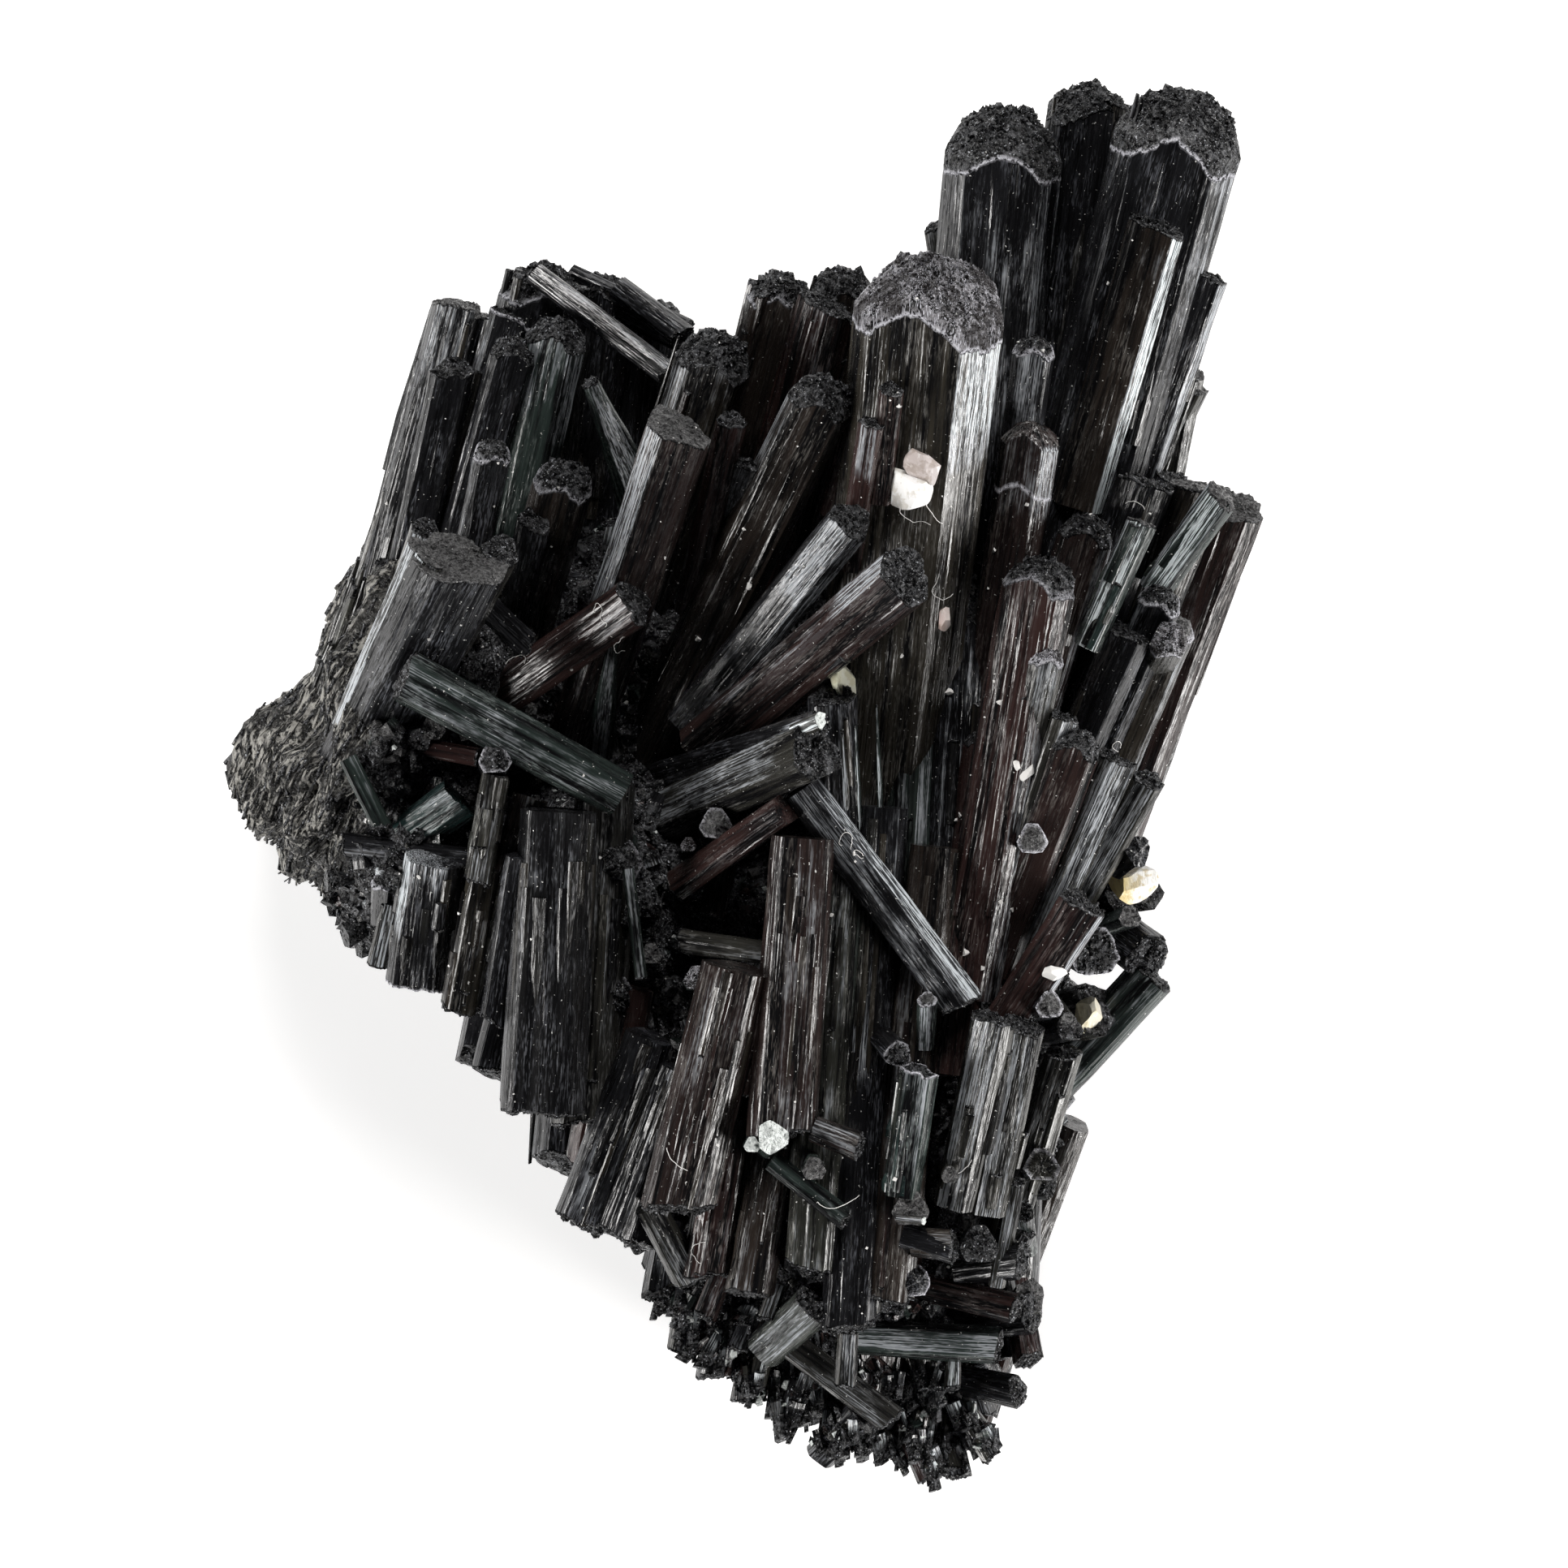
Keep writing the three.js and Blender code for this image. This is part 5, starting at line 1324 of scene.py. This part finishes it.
def feldspar_finish(name, middle, left, right):
    """Feldspar of these two colours, pearly, with fine veins along its cleavage."""
    finish = Finish(name)
    place = finish.node("ShaderNodeTexCoord").outputs["Object"]
    across = finish.node("ShaderNodeSeparateXYZ", Vector=place).outputs["X"]
    clouds = finish.grain(finish.stretch(place, (1000, 1000, 1000)), 1.6, 4.0, 0.6)
    veins = finish.grain(finish.stretch(place, (900, 300, 900)), 5.0, 3.0, 0.6)
    start, end = (middle[0] - 0.5) * MM, (middle[0] + 0.5) * MM
    colour = finish.blend(finish.between(across, start, end), (*left, 1), (*right, 1))
    shade = (left[0] * 0.72, left[1] * 0.68, left[2] * 0.62, 1)
    colour = finish.blend(finish.between(clouds, 0.52, 0.40, 0.0, 0.7), colour, shade)
    colour = finish.blend(finish.between(veins, 0.55, 0.75, 0, 0.5), colour, (0.95, 0.94, 0.92, 1))
    finish.set("Base Color", colour)
    finish.set("Roughness", finish.between(clouds, 0.3, 0.7, 0.28, 0.5))
    finish.set("IOR", 1.53)
    finish.set("Normal", finish.bump(veins, 0.6, 0.08))
    return finish.material


CLEAVAGE_CUTS = 11


def cleaved_grain(dice):
    """A grain of unit size, bounded by a few cleavage planes."""
    lump = bmesh.new()
    bmesh.ops.create_icosphere(lump, subdivisions=3, radius=1.3)
    for vert in lump.verts:
        vert.co *= 1 + 0.08 * noise.noise(vert.co * 2.2 + Vector((dice.uniform(0, 90), 0, 0)))
    for _ in range(CLEAVAGE_CUTS):
        side = Vector([dice.gauss(0, 1) for _ in range(3)]).normalized()
        cut_away(lump, side * dice.uniform(0.62, 0.95), side)
    return lump


def set_down(lump, size, turn, centre):
    """Gives a grain its size, turn and place."""
    bmesh.ops.scale(lump, vec=size, verts=lump.verts)
    turned = Matrix.Rotation(math.radians(turn), 3, "Z")
    bmesh.ops.rotate(lump, cent=(0, 0, 0), matrix=turned, verts=lump.verts)
    bmesh.ops.translate(lump, vec=centre, verts=lump.verts)


dice = random.Random(22)
for name, (centre, half, turn, left, right) in FELDSPAR_GRAINS.items():
    lump = cleaved_grain(dice)
    set_down(lump, half, turn, centre)
    keep_piece(lump, name + "_stone", feldspar_finish(name, centre, left, right), "feldspar", name)

# Dust and lint: white specks, a few flecks of feldspar and curled fibres that lie on the crystals, where
# each is the first thing met from above.
SPECK_COUNT = 150
LOWEST_SPECK = 12
FIBRE_STEP = 0.1
FIBRE_RADIUS = 0.022
FIBRE_CLEARANCE = 0.05
FLECKS = [
    (17.2, 0.5, 0.8), (16.6, 0.9, 0.5), (18.8, -11.8, 1.1),
    (-23.3, -2.4, 0.5), (0.2, 12.0, 0.4), (12.4, 5.4, 0.5),
]
# Each fibre is: where it starts, its heading, its length and how far it curls.
LINT_FIBRES = [
    (-8.6, 9.4, 0, 2.6, 42),
    (-7.4, 8.8, 150, 2.0, 40),
    (6.4, -4.2, 60, 2.4, 30),
    (7.2, -4.6, 110, 1.6, 34),
    (-2.4, -28.2, 170, 2.2, 30),
    (4.4, -25.7, -60, 2.9, 12),
    (10.9, 17.0, -80, 1.8, 16),
    (11.8, 12.6, -95, 2.8, 22),
    (9.4, 16.8, -120, 2.6, 20),
    (23.0, 2.0, 40, 1.6, 30),
    (24.4, 16.6, 100, 1.4, 20),
    (-4.8, -22.4, -100, 2.0, 14),
    (13.0, -24.0, 20, 1.2, 20),
    (-13.6, 7.2, 70, 1.8, 26),
]
lint_white = Finish("lint")
lint_white.set("Base Color", (0.75, 0.74, 0.72, 1))
lint_white.set("Roughness", 0.7)
dice = random.Random(23)
specks = new_shell()
for _ in range(SPECK_COUNT):
    x, y = dice.uniform(-24, 26), dice.uniform(-34, 34)
    z = height_under(x, y)
    if z > LOWEST_SPECK:
        add_crumb(specks, Vector((x, y, z)), 0.1 + 0.25 * dice.random() ** 3, (0, 0, 0), dice)
for x, y, size in FLECKS:
    fleck = cleaved_grain(dice)
    half = (0.62 * size, 0.42 * size, 0.35 * size)
    set_down(fleck, half, dice.uniform(0, 180), (x, y, height_under(x, y)))
    merge(specks, fleck)
keep_piece(specks, "dust_specks", lint_white.material, "feldspar")

lint = bpy.data.curves.new("lint", "CURVE")
lint.dimensions = "3D"
lint.bevel_depth = FIBRE_RADIUS * MM
lint.bevel_resolution = 0
lint.use_fill_caps = True
for x, y, heading, length, curl in LINT_FIBRES:
    low = height_under(x, y)
    fibre = lint.splines.new("POLY")
    fibre.points.add(round(length / FIBRE_STEP))
    for point in fibre.points:
        low = max(height_under(x, y) + FIBRE_CLEARANCE, low - FIBRE_CLEARANCE)
        point.co = (x * MM, y * MM, low * MM, 1)
        heading += dice.uniform(-1, 1) * curl + 0.3 * curl
        x += FIBRE_STEP * math.cos(math.radians(heading))
        y += FIBRE_STEP * math.sin(math.radians(heading))
lint.materials.append(lint_white.material)
fibres = bpy.data.objects.new("lint_fibres", lint)
bpy.context.collection.objects.link(fibres)
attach(fibres, "root")
